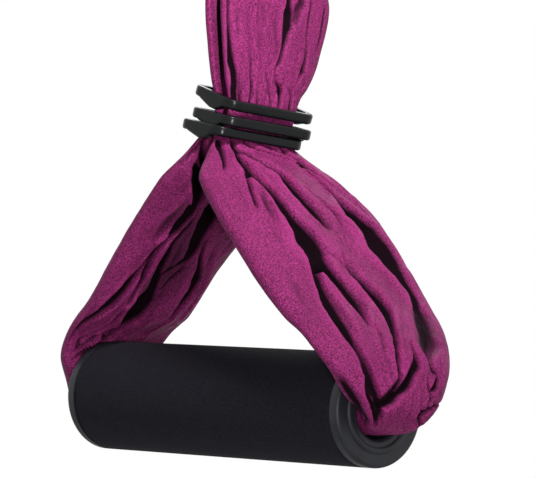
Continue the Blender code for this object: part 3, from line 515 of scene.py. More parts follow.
# Folds: rows of how far along and how far across, in thousandths of the whole, then depth and reach to
# each side, in millimetres
RIGHT_OUTER_FOLDS = (
    # dark line behind the front pleat at the gather
    ((31, 34, 0, 1.1), (32, 34, 2.4, 1.1), (48, 56, 2.9, 1.4), (79, 97, 2.4, 1.1), (122, 127, 1.9, 0.9),
     (148, 115, 0, 0.9)),
    # long slit beside the front panel
    ((7, 159, 0, 0.9), (42, 172, 1.9, 0.9), (85, 222, 2.6, 1.4), (110, 240, 3.6, 2.1), (132, 252, 4.7, 2.7),
     (164, 260, 4.9, 2.8), (190, 276, 4.1, 2.3), (228, 292, 3.9, 2.2), (265, 292, 4.4, 2.5),
     (312, 292, 5.1, 3.1), (349, 300, 6.4, 4), (386, 308, 7.5, 5), (429, 300, 7.5, 6.3), (460, 302, 7, 4.8),
     (485, 306, 6.8, 4.2), (512, 316, 5.8, 3.4), (545, 333, 3.8, 2.6), (580, 345, 0, 2)),
    # its front branch, down to the cap
    ((380, 290, 0, 2.4), (410, 284, 5, 2.6), (450, 274, 5.4, 2.6), (485, 262, 5, 2.2), (520, 238, 4, 1.8),
     (566, 212, 3.9, 2.2), (619, 193, 4.9, 2.9), (683, 172, 5.4, 3.2), (720, 172, 4.9, 2.9),
     (751, 159, 3.4, 1.8), (778, 159, 2.4, 1.1), (810, 159, 2.4, 1.1), (841, 159, 2.9, 1.4),
     (873, 159, 2.9, 1.4), (908, 159, 0, 1.4)),
    # its back branch
    ((430, 308, 0, 2.4), (485, 312, 4.9, 2.9), (529, 330, 4.9, 3.6), (566, 345, 4.1, 3.8),
     (614, 357, 3.6, 4), (651, 357, 3, 3.2), (688, 357, 1.9, 1.8), (714, 374, 0, 0.9)),
    # thin pleat between them and the cap
    ((706, 193, 0, 0.9), (741, 193, 1.9, 0.9), (778, 186, 1.9, 0.9), (815, 186, 2.4, 1.1),
     (852, 186, 2.4, 1.1), (873, 186, 2.4, 1.1), (908, 186, 0, 1.1)),
    # step from the front panel to the layer under it
    ((39, 222, 0, 0.9), (74, 222, 1.9, 0.9), (127, 237, 2.4, 1.1), (190, 207, 2.4, 1.1),
     (265, 165, 2.4, 1.1), (312, 146, 0, 0.9)),
    # hollow in that layer
    ((219, 229, 0, 1.4), (254, 229, 1.2, 1.4), (296, 215, 1.4, 2.2), (328, 207, 0.8, 1.8),
     (365, 193, 0, 0.9)),
    # slit that opens into a pocket
    ((13, 193, 0, 0.9), (48, 193, 1.9, 0.9), (74, 276, 2.4, 1.1), (101, 349, 2.9, 1.4),
     (122, 400, 3.4, 1.8), (143, 434, 3.9, 2.2), (169, 452, 5.4, 2.6), (212, 443, 6.4, 3.4),
     (259, 445, 5.4, 3.6), (291, 460, 4.2, 3.6), (320, 480, 3, 3.4), (350, 500, 1.8, 2.8),
     (381, 510, 0, 0.9)),
    # thin pleat over the pocket
    ((200, 540, 0, 0.9), (240, 560, 1.9, 0.9), (280, 590, 2.4, 1.1), (320, 610, 1.6, 1.1),
     (358, 620, 0, 1.1)),
    # pleats that fan out over the pocket
    ((2, 316, 0, 0.9), (37, 316, 1.9, 0.9), (58, 417, 3, 1.3), (74, 539, 3.3, 1.5), (90, 643, 3.3, 1.5),
     (101, 700, 3.2, 1.3), (127, 708, 3, 1.2), (153, 724, 3, 1.2), (190, 732, 2.8, 1.1),
     (233, 716, 2.4, 1.1), (268, 716, 0, 1.1)),
    ((31, 496, 0, 1.1), (32, 496, 2.4, 1.1), (48, 574, 2.9, 1.3), (63, 668, 3, 1.4), (80, 760, 3, 1.3),
     (101, 771, 2.9, 1.2), (127, 771, 2.9, 1.2), (159, 785, 2.9, 1.2), (185, 814, 2.8, 1.1),
     (217, 835, 2.2, 0.9), (265, 821, 0, 0.9)),
    ((4, 778, 0, 0.9), (5, 778, 1.9, 0.9), (42, 730, 2, 1), (75, 720, 0, 0.9)),
    # wide slit beside the back rim
    ((161, 700, 0, 0.9), (196, 700, 1.9, 0.9), (228, 724, 3.4, 1.8), (270, 716, 5.9, 3.6),
     (307, 732, 7.5, 5.4), (339, 771, 7.5, 6.5), (376, 785, 7.5, 7.2), (418, 778, 7.5, 8.3),
     (455, 785, 6.6, 6.8), (487, 800, 5.6, 5.4), (524, 814, 4.6, 4.4), (561, 828, 3.8, 3.4),
     (614, 800, 2.6, 2.5), (649, 800, 0, 2.5)),
    # hollow that it runs into
    ((515, 814, 0, 1.4), (550, 814, 2, 1.4), (614, 807, 2.2, 4), (683, 778, 2.6, 5.4), (730, 763, 2.4, 5.4),
     (767, 740, 1.8, 3.2), (794, 748, 1, 1.4), (820, 778, 0, 0.9)),
    # pleats along the back rim
    ((87, 944, 0, 0.9), (122, 944, 1.9, 0.9), (164, 962, 2.4, 1.1), (217, 953, 2.4, 1.1),
     (280, 966, 2.4, 1.1), (349, 974, 2.4, 1.1), (407, 970, 2.4, 1.1), (476, 949, 1.9, 0.9),
     (529, 939, 0, 0.9)),
    ((111, 885, 0, 0.9), (148, 885, 2.4, 1.1), (201, 879, 2.4, 1.1), (254, 867, 1.9, 0.9),
     (307, 879, 0, 0.9)),
    # slit between the two lower panels
    ((436, 487, 0, 1.4), (471, 487, 0.8, 1.4), (508, 487, 2, 3.2), (550, 496, 5.4, 3.2),
     (593, 522, 5.9, 3.6), (635, 531, 5.9, 3.6), (672, 531, 4.4, 2.5), (704, 522, 3.4, 1.8),
     (741, 504, 2.4, 1.1), (772, 469, 2.4, 1.1), (799, 443, 2.4, 1.1), (825, 434, 2.4, 1.1),
     (847, 366, 2.4, 1.1), (868, 260, 2.4, 1.1), (884, 165, 2.9, 1.4), (919, 165, 0, 1.4)),
    # hook-shaped slit above the cap
    ((737, 617, 0, 0.9), (772, 617, 1.9, 0.9), (788, 609, 2.9, 1.3), (804, 566, 3.4, 1.4),
     (831, 504, 3.4, 1.4), (852, 426, 3.4, 1.3), (862, 349, 3.4, 1.3), (878, 260, 3.9, 1.4),
     (884, 186, 3.9, 1.4), (889, 133, 2.9, 1.2), (924, 133, 0, 1.2)),
    # crinkles in the low bulge
    ((743, 724, 0, 0.9), (778, 724, 1.9, 0.9), (794, 755, 2.4, 1.1), (815, 814, 2.4, 1.1),
     (836, 800, 2.4, 1.1), (857, 732, 0, 0.9)),
    ((806, 716, 0, 0.9), (841, 716, 1.9, 0.9), (862, 763, 2.4, 1.1), (878, 771, 0, 0.9)),
    # pleats that run into the cap
    ((796, 2, 0, 0.9), (831, 2, 1.9, 0.9), (868, 2, 2.4, 1.1), (905, 2, 2.4, 1.1), (921, 38, 1.9, 0.9),
     (956, 38, 0, 0.9)),
    ((785, 146, 0, 0.9), (820, 146, 1.9, 0.9), (847, 127, 2.9, 1.4), (873, 103, 2.9, 1.4),
     (889, 121, 2.9, 1.4), (910, 127, 2.4, 1.1), (926, 152, 0, 0.9)),
    ((833, 998, 0, 0.9), (868, 998, 1.9, 0.9), (884, 771, 2.4, 1.1), (894, 684, 2.4, 1.1),
     (931, 985, 0, 0.9)),
    # soft creases in the panels
    ((423, 400, 0, 0.9), (455, 426, 1, 1.1), (492, 461, 1.2, 1.1), (534, 478, 1.2, 1.1),
     (577, 496, 0, 0.9)),
    ((693, 400, 0, 0.9), (730, 409, 0.9, 1.1), (762, 383, 0.9, 1.1), (788, 341, 0, 0.9)),
    ((563, 245, 0, 0.9), (598, 245, 1, 0.9), (672, 237, 1.2, 1.1), (714, 237, 1, 1.1), (762, 207, 0, 0.9)),
)
LEFT_INNER_FOLDS = (
    # long slit behind the front panel
    ((34, 97, 0, 0.8), (69, 97, 2, 0.8), (95, 172, 4.2, 1.9), (132, 252, 5.9, 2.8), (180, 300, 5.9, 2.8),
     (217, 300, 5.9, 2.8), (265, 276, 5.9, 2.8), (312, 252, 4.2, 1.9), (349, 215, 3.3, 1.5),
     (392, 193, 3.7, 1.7), (429, 172, 3.3, 1.5), (466, 146, 3.7, 1.7), (513, 121, 4.6, 2.1),
     (556, 97, 4.6, 2.1), (603, 66, 3.3, 1.5), (651, 47, 2.9, 1.2), (693, 34, 2.5, 0.9), (728, 34, 0, 0.9)),
    # hollow that leads into it
    ((159, 222, 0, 0.9), (201, 222, 1.6, 2.9), (249, 193, 2, 4.3), (296, 165, 1.4, 2.9),
     (344, 159, 0, 0.9)),
    # slit behind the thin ridge, down to the hollow
    ((177, 374, 0, 0.8), (212, 374, 1.7, 0.8), (265, 374, 2.6, 1), (302, 341, 3.1, 1.4),
     (339, 324, 3.5, 1.7), (376, 332, 4.4, 2.2), (418, 341, 4.9, 2.4), (460, 357, 4.9, 2.4),
     (503, 374, 5.8, 3), (545, 357, 6.8, 4.9), (587, 349, 6.8, 4.9), (635, 374, 5.8, 3),
     (693, 391, 3.5, 1.7), (725, 332, 2.2, 0.8), (760, 332, 0, 0.8)),
    # broad hollow between the front and back panels, a shallow dip that also lays painted shade over the
    # leg's inner face
    ((120, 360, 0, 6), (200, 380, 1.6, 9), (300, 420, 2.2, 11), (420, 440, 2.2, 11), (540, 400, 1.8, 9),
     (660, 360, 0, 6)),
    # thin slit between two ridges
    ((357, 229, 0, 0.9), (392, 229, 1.9, 0.9), (434, 229, 2.9, 1.4), (481, 237, 2.9, 1.4),
     (524, 229, 2.4, 1.1), (559, 229, 0, 1.1)),
    # deep column near the back
    ((134, 443, 0, 1.5), (169, 443, 3.3, 1.5), (206, 461, 6.4, 4.1), (249, 478, 6.4, 4.1),
     (286, 496, 6.4, 3.5), (323, 513, 6.3, 3.3), (360, 539, 5.4, 2.8), (386, 548, 3.7, 1.8),
     (407, 513, 2.9, 1.3), (429, 452, 2.5, 1), (460, 409, 2, 0.8), (495, 409, 0, 0.8)),
    # slit before the back panel
    ((288, 609, 0, 0.9), (323, 609, 1.9, 0.9), (365, 643, 2.4, 1.1), (418, 716, 3.4, 1.8),
     (460, 755, 4.9, 2.9), (508, 748, 4.9, 2.9), (550, 740, 3.9, 2.2), (587, 732, 2.9, 1.4),
     (630, 708, 2.4, 1.1), (688, 716, 2.4, 1.1), (723, 716, 0, 1.1)),
    # small tuck under the middle panel
    ((388, 566, 0, 0.9), (423, 566, 1.9, 0.9), (455, 531, 2.4, 1.1), (487, 487, 2.4, 1.1),
     (508, 461, 0, 0.9)),
    # crease in the back panel
    ((270, 668, 0, 0.9), (339, 716, 1, 1.4), (402, 778, 1.2, 1.8), (466, 848, 1.2, 1.8), (529, 879, 1, 1.4),
     (582, 861, 0.8, 1.1), (667, 908, 0, 0.9)),
    # pleats that run into the left cap
    ((563, 229, 0, 1.1), (598, 229, 2.4, 1.1), (661, 237, 2.9, 1.4), (709, 193, 2.9, 1.4),
     (741, 103, 2.4, 1.1), (776, 103, 0, 1.1)),
    ((605, 349, 0, 1.1), (640, 349, 2.4, 1.1), (693, 332, 2.9, 1.4), (720, 260, 2.9, 1.4),
     (751, 152, 2.4, 1.1), (772, 61, 0, 0.9)),
    ((669, 409, 0, 0.9), (704, 409, 1.9, 0.9), (741, 316, 2.9, 1.4), (767, 179, 2.4, 1.1),
     (794, 66, 0, 0.9)),
    ((561, 26, 0, 0.9), (608, 18, 1, 1.1), (661, 30, 1.2, 1.1), (720, 26, 1, 1.1), (757, 2, 0, 0.9)),
    # pleats at the gather
    ((20, 18, 0, 0.8), (21, 18, 1.7, 0.8), (37, 22, 2, 0.8), (48, 11, 2, 0.8), (69, 8, 1.3, 0.8),
     (104, 8, 0, 0.8)),
    ((20, 38, 0, 0.8), (21, 38, 2, 0.8), (48, 97, 2.7, 1.3), (74, 179, 3.1, 1.5), (101, 260, 2.4, 1.1),
     (127, 316, 1.3, 0.8), (162, 316, 0, 0.8)),
    # soft creases in the panels
    ((344, 417, 0, 0.9), (381, 426, 0.9, 1.4), (413, 443, 0.7, 1.1), (439, 452, 0, 0.9)),
    ((489, 504, 0, 0.9), (524, 504, 1.9, 0.9), (556, 461, 1.4, 1.4), (593, 452, 1.2, 1.4),
     (640, 487, 0, 0.9)),
    ((566, 659, 0, 0.9), (593, 591, 2.4, 1.1), (630, 539, 2.9, 1.4), (677, 513, 2.4, 1.1),
     (714, 469, 0, 0.9)),
)
RIGHT_INNER_FOLDS = (
    ((0, 280, 0.3, 1), (100, 300, 2.5, 2), (310, 270, 4.6, 3), (460, 260, 5, 3), (600, 280, 3.6, 3),
     (700, 300, 0, 3)),
    ((0, 480, 0.3, 1), (100, 500, 2.5, 2), (310, 520, 5, 3.2), (460, 550, 4.5, 3), (580, 520, 0, 3)),
    ((0, 700, 0.3, 1), (100, 740, 2.4, 2), (310, 780, 4.4, 2.6), (460, 770, 4.6, 3), (600, 750, 3, 3),
     (700, 740, 0, 3)),
    ((200, 400, 0, 1), (300, 390, 1.8, 1.6), (450, 410, 1.8, 1.6), (600, 400, 0, 1)),
    ((160, 640, 0, 1), (280, 650, 1.8, 1.6), (420, 660, 1.4, 1.6), (550, 640, 0, 1)),
)
LEFT_OUTER_FOLDS = (
    ((0, 250, 0.3, 1), (100, 280, 2.6, 2), (310, 240, 5.5, 3), (460, 260, 6, 3), (600, 300, 5, 3),
     (720, 280, 3.5, 2.4), (880, 280, 1.8, 1.6), (950, 300, 0, 1)),
    ((0, 500, 0.3, 1), (100, 520, 2.6, 2), (310, 470, 6, 3.2), (460, 500, 6.5, 3.4), (600, 520, 5, 3),
     (720, 500, 4, 2.6), (880, 500, 2, 1.8), (950, 500, 0, 1)),
    ((0, 740, 0.3, 1), (100, 760, 2.6, 2), (310, 720, 5.5, 3), (460, 740, 5.5, 3), (600, 760, 4.5, 3),
     (720, 760, 3.5, 2.4), (880, 740, 1.8, 1.6), (950, 720, 0, 1)),
    ((100, 360, 0, 1), (250, 370, 1.8, 1.5), (450, 380, 2, 1.6), (650, 400, 0, 1)),
    ((140, 620, 0, 1), (300, 600, 1.8, 1.5), (500, 620, 2, 1.6), (700, 620, 0, 1)),
    ((500, 880, 0, 1), (620, 890, 1.2, 1), (780, 870, 1.2, 1), (900, 850, 0, 1)),
    ((500, 120, 0, 1), (620, 130, 1.2, 1), (780, 150, 1.2, 1), (900, 170, 0, 1)),
)
LEG_FOLDS = {
    "right": (RIGHT_OUTER_FOLDS, RIGHT_INNER_FOLDS),
    "left": (LEFT_OUTER_FOLDS, LEFT_INNER_FOLDS),
}

# How full a bundle stays towards its edges: 2 is an ellipse, and more is squarer
EDGE_ROUNDNESS = 2.4
# Sections along a leg, and points across its seen and its hidden face
LEG_ROWS, SEEN_POINTS, HIDDEN_POINTS = 190, 190, 120
# How far from the middle each leg starts under the rings, in metres
LEG_START = 0.00305
# The deepest fold, as a share of the bundle's thickness, and the least cloth left between two folds, in mm
DEEPEST_SHARE, LEAST_CLOTH_MM = 0.86, 1.0
# The fold depth at which each leg's painted shade is darkest, in millimetres
DARKEST_MM = {"right": 5.0, "left": 6.5}
# How far the painted highlight on crests may brighten the cloth, on the same scale
CREST_SHADE = -0.3


def crown(across):
    """Return how full the bundle is at a share of its width."""
    return np.clip(1 - np.abs(2 * across - 1) ** EDGE_ROUNDNESS, 0, 1) ** (1 / EDGE_ROUNDNESS)


def even_girth(count):
    """Return across shares that lie closer together towards both edges."""
    turn = (np.arange(count) + 0.5) / count
    return 0.5 - 0.5 * (0.55 * np.cos(math.pi * turn) + 0.45 * (1 - 2 * turn))


def unit(vectors):
    """Return vectors of length one."""
    return vectors / np.linalg.norm(vectors, axis=1, keepdims=True)


def leg_route(hand, along):
    """Return the points of a leg's route, from inside the bottom ring to the mouth, and its way out."""
    side = 1 if hand == "right" else -1
    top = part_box(f"band_leg_{hand}")[1].z
    start_x = side * LEG_START + RING_SHIFT.x
    x = start_x + (side * MOUTH_INSIDE - start_x) * through(LEG_ALONG, LEG_OUT, along)
    z = top - (top - GRIP_CENTRE.z) * through(LEG_ALONG, LEG_DOWN, along)
    route = np.stack([x, RING_SHIFT.y * (1 - along) ** 2, z], axis=1)
    run = np.gradient(route, axis=0)
    run[:, 1] = 0
    run = unit(run)
    # the leg leaves the ring straight down and enters the mouth straight along the grip
    for share, way in ((1 - along / 0.03, (0, 0, -1.0)), ((along - 0.95) / 0.015, (-side, 0, 0.0))):
        mix = smooth_step(share)[:, None]
        run = run * (1 - mix) + np.array(way) * mix
    run = unit(run)
    return route, np.stack([-run[:, 2], np.zeros(len(run)), run[:, 0]], axis=1) * side


def leg_sections(hand, sizes):
    """Return the points and painted fold shade of one leg, from inside the bottom ring to the mouth."""
    along = np.linspace(0, 1, LEG_ROWS)
    route, out = leg_route(hand, along)
    front_row, back_row, thick_row = LEG_SHAPE[hand]
    width = sizes.leg_right_width if hand == "right" else sizes.leg_left_width
    front, back = (width / 2 * through(LEG_ALONG, row, along) for row in (front_row, back_row))
    half = sizes.leg_thickness / 2
    reach = [half * through(LEG_ALONG, row, along) for row in (thick_row, LEG_INNER)]
    length_mm = distances(route) / MM
    width_mm = (front + back) / MM
    total_mm = (reach[0] + reach[1])[:, None] / MM
    # the cloth is pulled smooth at both ends
    calm = smooth_step(along / 0.12) * smooth_step((1 - along) / 0.12)
    # the photograph shows the right leg's outer face and the left leg's inner face
    seen = 0 if hand == "right" else 1
    found = {}
    for face in (seen, 1 - seen):
        across = even_girth(SEEN_POINTS if face == seen else HIDDEN_POINTS)
        full = crown(across)[None, :]
        sink, lean = fold_field(LEG_FOLDS[hand][face], along, across, width_mm, length_mm[-1])
        if face == seen:
            sink = np.minimum(sink, DEEPEST_SHARE * total_mm)
            seen_across, seen_sink = across, sink
        else:
            under = np.stack([np.interp(across, seen_across, row) for row in seen_sink])
            left = total_mm - np.clip(under, 0, None) - LEAST_CLOTH_MM
            sink = np.minimum(sink, np.clip(left, 0, None))
        seed = 5.0 + 17 * face + (40 if hand == "right" else 0)
        creases = wrinkles(length_mm, across * width / MM, seed)
        height = (reach[face][:, None] - sink * MM) * full
        height += creases * sizes.crinkle * full * (0.25 + 0.75 * calm[:, None])
        place = across[None, :] + lean / width_mm[:, None] * full
        direction = out if face == 0 else -out
        points = route[:, None, :] + direction[:, None, :] * height[:, :, None]
        points[:, :, 1] += (front + back)[:, None] * place - front[:, None]
        # painted shade: darker where a fold lies deeper than the cloth round it, lighter on crests
        shade = fold_shade(sink, across, width_mm) / DARKEST_MM[hand]
        found[face] = points, np.clip(shade, CREST_SHADE, 1)
    return [np.concatenate([outer, inner[:, ::-1]], axis=1) for outer, inner in zip(found[0], found[1])]


class GRIP_OT_cloth_legs(bpy.types.Operator):
    """Drape the two legs of the band from the rings to the caps"""

    bl_idname = "grip.cloth_legs"
    bl_label = "Cloth legs"

    def execute(self, context):
        sizes = context.scene.grip_sizes
        for hand in ("right", "left"):
            leg, length = cloth_bundle(f"cloth_leg_{hand}", *leg_sections(hand, sizes))
            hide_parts(f"band_leg_{hand}")
            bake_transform(leg)
        return {"FINISHED"}


# The band above the rings: shares of the way up to the hook's bar, then width and thickness shares
UPPER_ALONG = (0.0, 0.128, 0.189, 0.227, 0.30, 0.381, 0.598, 0.80, 0.92, 1.0)
UPPER_FRONT = (0.60, 0.64, 0.685, 0.725, 0.775, 0.825, 0.915, 0.66, 0.37, 0.27)
UPPER_BACK = (0.60, 0.60, 0.665, 0.755, 0.875, 0.955, 1.085, 0.74, 0.38, 0.27)
UPPER_THICK = (1.0, 1.0, 1.0, 1.04, 1.10, 1.15, 1.20, 1.05, 1.0, 1.0)
UPPER_RIGHT_FOLDS = (
    # slit where the two halves meet at the front
    ((0, 34, 0.3, 1.1), (86, 34, 0.3, 1.1), (136, 34, 1.9, 1.1), (182, 38, 2.2, 1.4), (227, 56, 2.2, 1.4),
     (273, 51, 2.5, 1.4), (309, 34, 2.5, 1.4), (355, 30, 1.9, 1.1), (400, 30, 1.5, 1), (455, 30, 1.2, 0.8),
     (518, 30, 1, 0.8), (582, 30, 1, 0.8), (1000, 30, 0.3, 0.8)),
    # wide slit between the two panels
    ((168, 583, 0, 0.8), (218, 583, 0.7, 0.8), (255, 513, 0.5, 0.8), (300, 496, 0.6, 0.8),
     (336, 522, 1.1, 1.1), (373, 539, 1.1, 1.1), (418, 548, 1.3, 1.4), (464, 548, 1.7, 1.9),
     (509, 557, 2.3, 2.7), (555, 557, 2.3, 2.7), (600, 557, 1.5, 1.6), (1000, 557, 0.1, 1.6)),
    # soft hollow behind it
    ((473, 684, 0, 0.8), (527, 634, 0.9, 2), (582, 643, 1.2, 2.7), (618, 676, 1.2, 2.7),
     (1000, 676, 0.3, 2.7)),
    # long slit in the back panel
    ((223, 793, 0, 0.8), (273, 793, 0.5, 0.8), (309, 800, 1.3, 1.3), (373, 807, 1.1, 0.9),
     (455, 778, 0.8, 0.8), (545, 763, 1.1, 0.9), (609, 771, 1.1, 0.9), (1000, 771, 0.2, 0.9)),
    # pleat along the back edge
    ((373, 891, 0, 0.8), (445, 919, 0.9, 1), (518, 914, 1.1, 1), (591, 914, 1, 1), (627, 924, 0, 0.8)),
    # pleats at the gather
    ((0, 222, 0.2, 0.9), (86, 222, 0.2, 0.9), (136, 222, 1.4, 0.9), (200, 252, 1.4, 0.9),
     (264, 229, 0.9, 0.9), (318, 229, 0.9, 0.9), (373, 215, 0, 0.8)),
    ((0, 103, 0.2, 0.9), (95, 103, 0.2, 0.9), (145, 103, 1.4, 0.9), (191, 109, 0.9, 1.3),
     (255, 115, 0.5, 0.8), (318, 127, 0, 0.8)),
    ((0, 643, 0.2, 0.9), (105, 643, 0.2, 0.9), (155, 643, 1.4, 0.9), (209, 617, 1.7, 1.3),
     (245, 539, 0.9, 1.3), (282, 504, 0, 0.8)),
    ((0, 522, 0.2, 0.8), (95, 522, 0.2, 0.8), (145, 522, 1, 0.8), (209, 469, 0.8, 0.8),
     (273, 400, 0.5, 0.8), (327, 341, 0, 0.8)),
    ((0, 332, 0.2, 0.8), (95, 332, 0.2, 0.8), (145, 332, 1, 0.8), (191, 341, 0.5, 0.8), (236, 324, 0, 0.8)),
    ((0, 821, 0.2, 0.9), (95, 821, 0.2, 0.9), (145, 821, 1.4, 0.9), (191, 800, 0.8, 0.9),
     (245, 643, 0.4, 0.8), (291, 617, 0, 0.8)),
    # faint creases in the front panel
    ((373, 127, 0, 0.8), (455, 109, 0.5, 1), (536, 103, 0.5, 1), (582, 103, 0, 0.8)),
    ((427, 324, 0, 0.8), (500, 341, 0.4, 1), (564, 324, 0.5, 1), (600, 308, 0, 0.8)),
)
UPPER_LEFT_FOLDS = (
    ((0, 200, 0.6, 1), (200, 220, 2, 1.4), (390, 260, 3.2, 2), (610, 280, 3.2, 2.2), (840, 260, 1.8, 1.4),
     (1000, 200, 0.3, 1)),
    ((0, 550, 0.6, 1), (200, 540, 2, 1.4), (390, 520, 3.4, 2.2), (610, 500, 3.4, 2.4), (840, 520, 1.8, 1.4),
     (1000, 600, 0.3, 1)),
    ((0, 800, 0.6, 1), (200, 800, 2, 1.2), (390, 780, 2.6, 1.6), (610, 760, 2.8, 1.8), (840, 780, 1.6, 1.2),
     (1000, 800, 0.3, 1)),
    ((250, 380, 0, 1), (400, 390, 1.4, 1.2), (600, 400, 1.4, 1.2), (800, 400, 0, 1)),
    ((200, 660, 0, 1), (330, 650, 1.4, 1.2), (500, 640, 1.2, 1.2), (660, 620, 0, 1)),
)


# The band where it lies over the hook's bar: its play there and its thickness, in metres
BAR_PLAY, BAR_PLY = 0.001, 0.0026
# Half the thickness of a gathered ply at the rings, and half the gap between the two plies
HALF_PLY, HALF_GAP = 0.00285, 0.0002
# Sections up each hanging ply and round the bar, points across the outer face and the hidden inner one
PLY_ROWS, BAR_ROWS, OUTER_POINTS, INNER_POINTS = 110, 26, 150, 210
# How far it is from the rings to the bar along the cloth, in millimetres
UPPER_RUN_MM = 69
# The creases' own pattern, and where in it the left ply starts, in millimetres
UPPER_SEED, LEFT_START_MM = 91.0, 160
# Pleats of the inner face, and the least cloth left between them and the outer folds, in metres
INNER_PLEATS, INNER_LEAST = 16, 0.0012
# The fold depths at which the painted shade of the outer and the inner face is darkest, in millimetres
OUTER_DARKEST_MM, INNER_DARKEST_MM = 3.4, 6


def hanging_ply(side, folds, across, loop_radius, sizes):
    """Return the parts of the ply that hangs on one side of the bar, upward from the rings."""
    up = np.linspace(0, 1, PLY_ROWS + 1)[:-1]
    # near the bar the cloth takes the bar's curve, and near the rings it follows their offset
    near = smooth_step((up - UPPER_ALONG[-4]) / (1 - UPPER_ALONG[-4]))
    lean = np.clip(1 - up / UPPER_ALONG[1], 0, 1) ** 2
    thick = HALF_PLY * through(UPPER_ALONG, UPPER_THICK, up) * (1 - near) + BAR_PLY / 2 * near
    front, back = (sizes.upper_width / 2 * through(UPPER_ALONG, row, up) for row in (UPPER_FRONT, UPPER_BACK))
    x = side * ((HALF_GAP + thick) * (1 - near) + loop_radius * near) + RING_SHIFT.x * lean
    centre = np.stack([x, RING_SHIFT.y * lean, UPPER_LOW_Z + (BAR_CENTRE.z - UPPER_LOW_Z) * up], axis=1)
    out = np.tile(np.array([side, 0, 0.0]), (len(up), 1))
    sink, slide = fold_field(folds, up, across, (front + back) / MM, UPPER_RUN_MM)
    run_mm = up * UPPER_RUN_MM + (0 if side > 0 else LEFT_START_MM)
    return centre, out, thick, front, back, near, sink, slide, run_mm


def ply_over_bar(across, loop_radius, sizes):
    """Return the parts of the smooth cloth that lies over the hook's bar."""
    angle = np.linspace(0, math.pi, BAR_ROWS)
    out = np.stack([np.cos(angle), 0 * angle, np.sin(angle)], axis=1)
    centre = np.array([0, 0, BAR_CENTRE.z]) + out * loop_radius
    thick = np.full(BAR_ROWS, BAR_PLY / 2)
    half = np.full(BAR_ROWS, sizes.upper_width / 2 * UPPER_FRONT[-1])
    flat = np.zeros((BAR_ROWS, len(across)))
    run_mm = UPPER_RUN_MM + 1 + angle * loop_radius / MM
    return centre, out, thick, half, half, np.ones(BAR_ROWS), flat, flat, run_mm


def ply_sections(parts, across, sizes):
    """Return the points and painted fold shade of one stretch, folded on its outside and pleated inside."""
    centre, out, thick, front, back, near, sink, slide, run_mm = parts
    full, thick = crown(across)[None, :], thick[:, None]
    wide, still = (front + back)[:, None], near[:, None]
    sink = np.minimum(sink, thick / MM * 1.2)
    # the creases stand lower here than on the legs, and lowest over the bar
    creases = wrinkles(run_mm, across * sizes.upper_width / MM, UPPER_SEED)
    outer = thick * full - sink * MM * full
    outer = outer + creases * sizes.crinkle * 0.8 * full * ((1 - still) * 0.8 + 0.2)
    place = across[None, :] + slide / (wide / MM) * full
    share = np.linspace(1, 0, INNER_POINTS + 2)[1:-1]
    flat_inner = thick * crown(share)[None, :]
    beyond = np.stack([np.interp(share, across, row) for row in outer])
    room = np.clip(flat_inner + beyond - INNER_LEAST, 0, None) * (1 - still)
    room = room * np.clip(8 * share * (1 - share), 0, 1)[None, :]
    pleats = inner_pleats(share[None, :], room, INNER_PLEATS)
    inner = flat_inner - pleats
    faces = [centre[:, None, :] + out[:, None, :] * height[:, :, None] for height in (outer, -inner)]
    for face, spread in zip(faces, (place, share[None, :])):
        face[:, :, 1] += wide * spread - front[:, None]
    ring = np.concatenate(faces, axis=1)
    # over the bar the band lies in the hook's bend, so its edges ride up
    bend = sizes.hook_bend
    lift = bend - np.sqrt(bend ** 2 - np.minimum(np.abs(ring[:, :, 1]), bend * 0.6) ** 2)
    ring[:, :, 2] += lift * still
    # painted shade from the outer folds, and from the hidden inner pleats
    shade = np.clip(fold_shade(sink, across, (front + back) / MM) / OUTER_DARKEST_MM, CREST_SHADE, 1)
    return ring, np.concatenate([shade, np.clip(pleats / (INNER_DARKEST_MM * MM), 0, 1)], axis=1)


def upper_sections(sizes):
    """Return the points and painted fold shade of the band from the rings over the hook's bar and back."""
    loop_radius = sizes.hook_wire / 2 + BAR_PLAY + BAR_PLY / 2
    across = even_girth(OUTER_POINTS)
    right = ply_sections(hanging_ply(1, UPPER_RIGHT_FOLDS, across, loop_radius, sizes), across, sizes)
    over = ply_sections(ply_over_bar(across, loop_radius, sizes), across, sizes)
    left = ply_sections(hanging_ply(-1, UPPER_LEFT_FOLDS, across, loop_radius, sizes), across, sizes)
    return [np.concatenate([up, bar, down[::-1]]) for up, bar, down in zip(right, over, left)]


class GRIP_OT_cloth_upper(bpy.types.Operator):
    """Hang the gathered band from the hook's bar, down to the rings"""

    bl_idname = "grip.cloth_upper"
    bl_label = "Cloth above the rings"

    def execute(self, context):
        sizes = context.scene.grip_sizes
        piece, length = cloth_bundle("cloth_upper", *upper_sections(sizes))
        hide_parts("band_upper")
        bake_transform(piece)
        return {"FINISHED"}


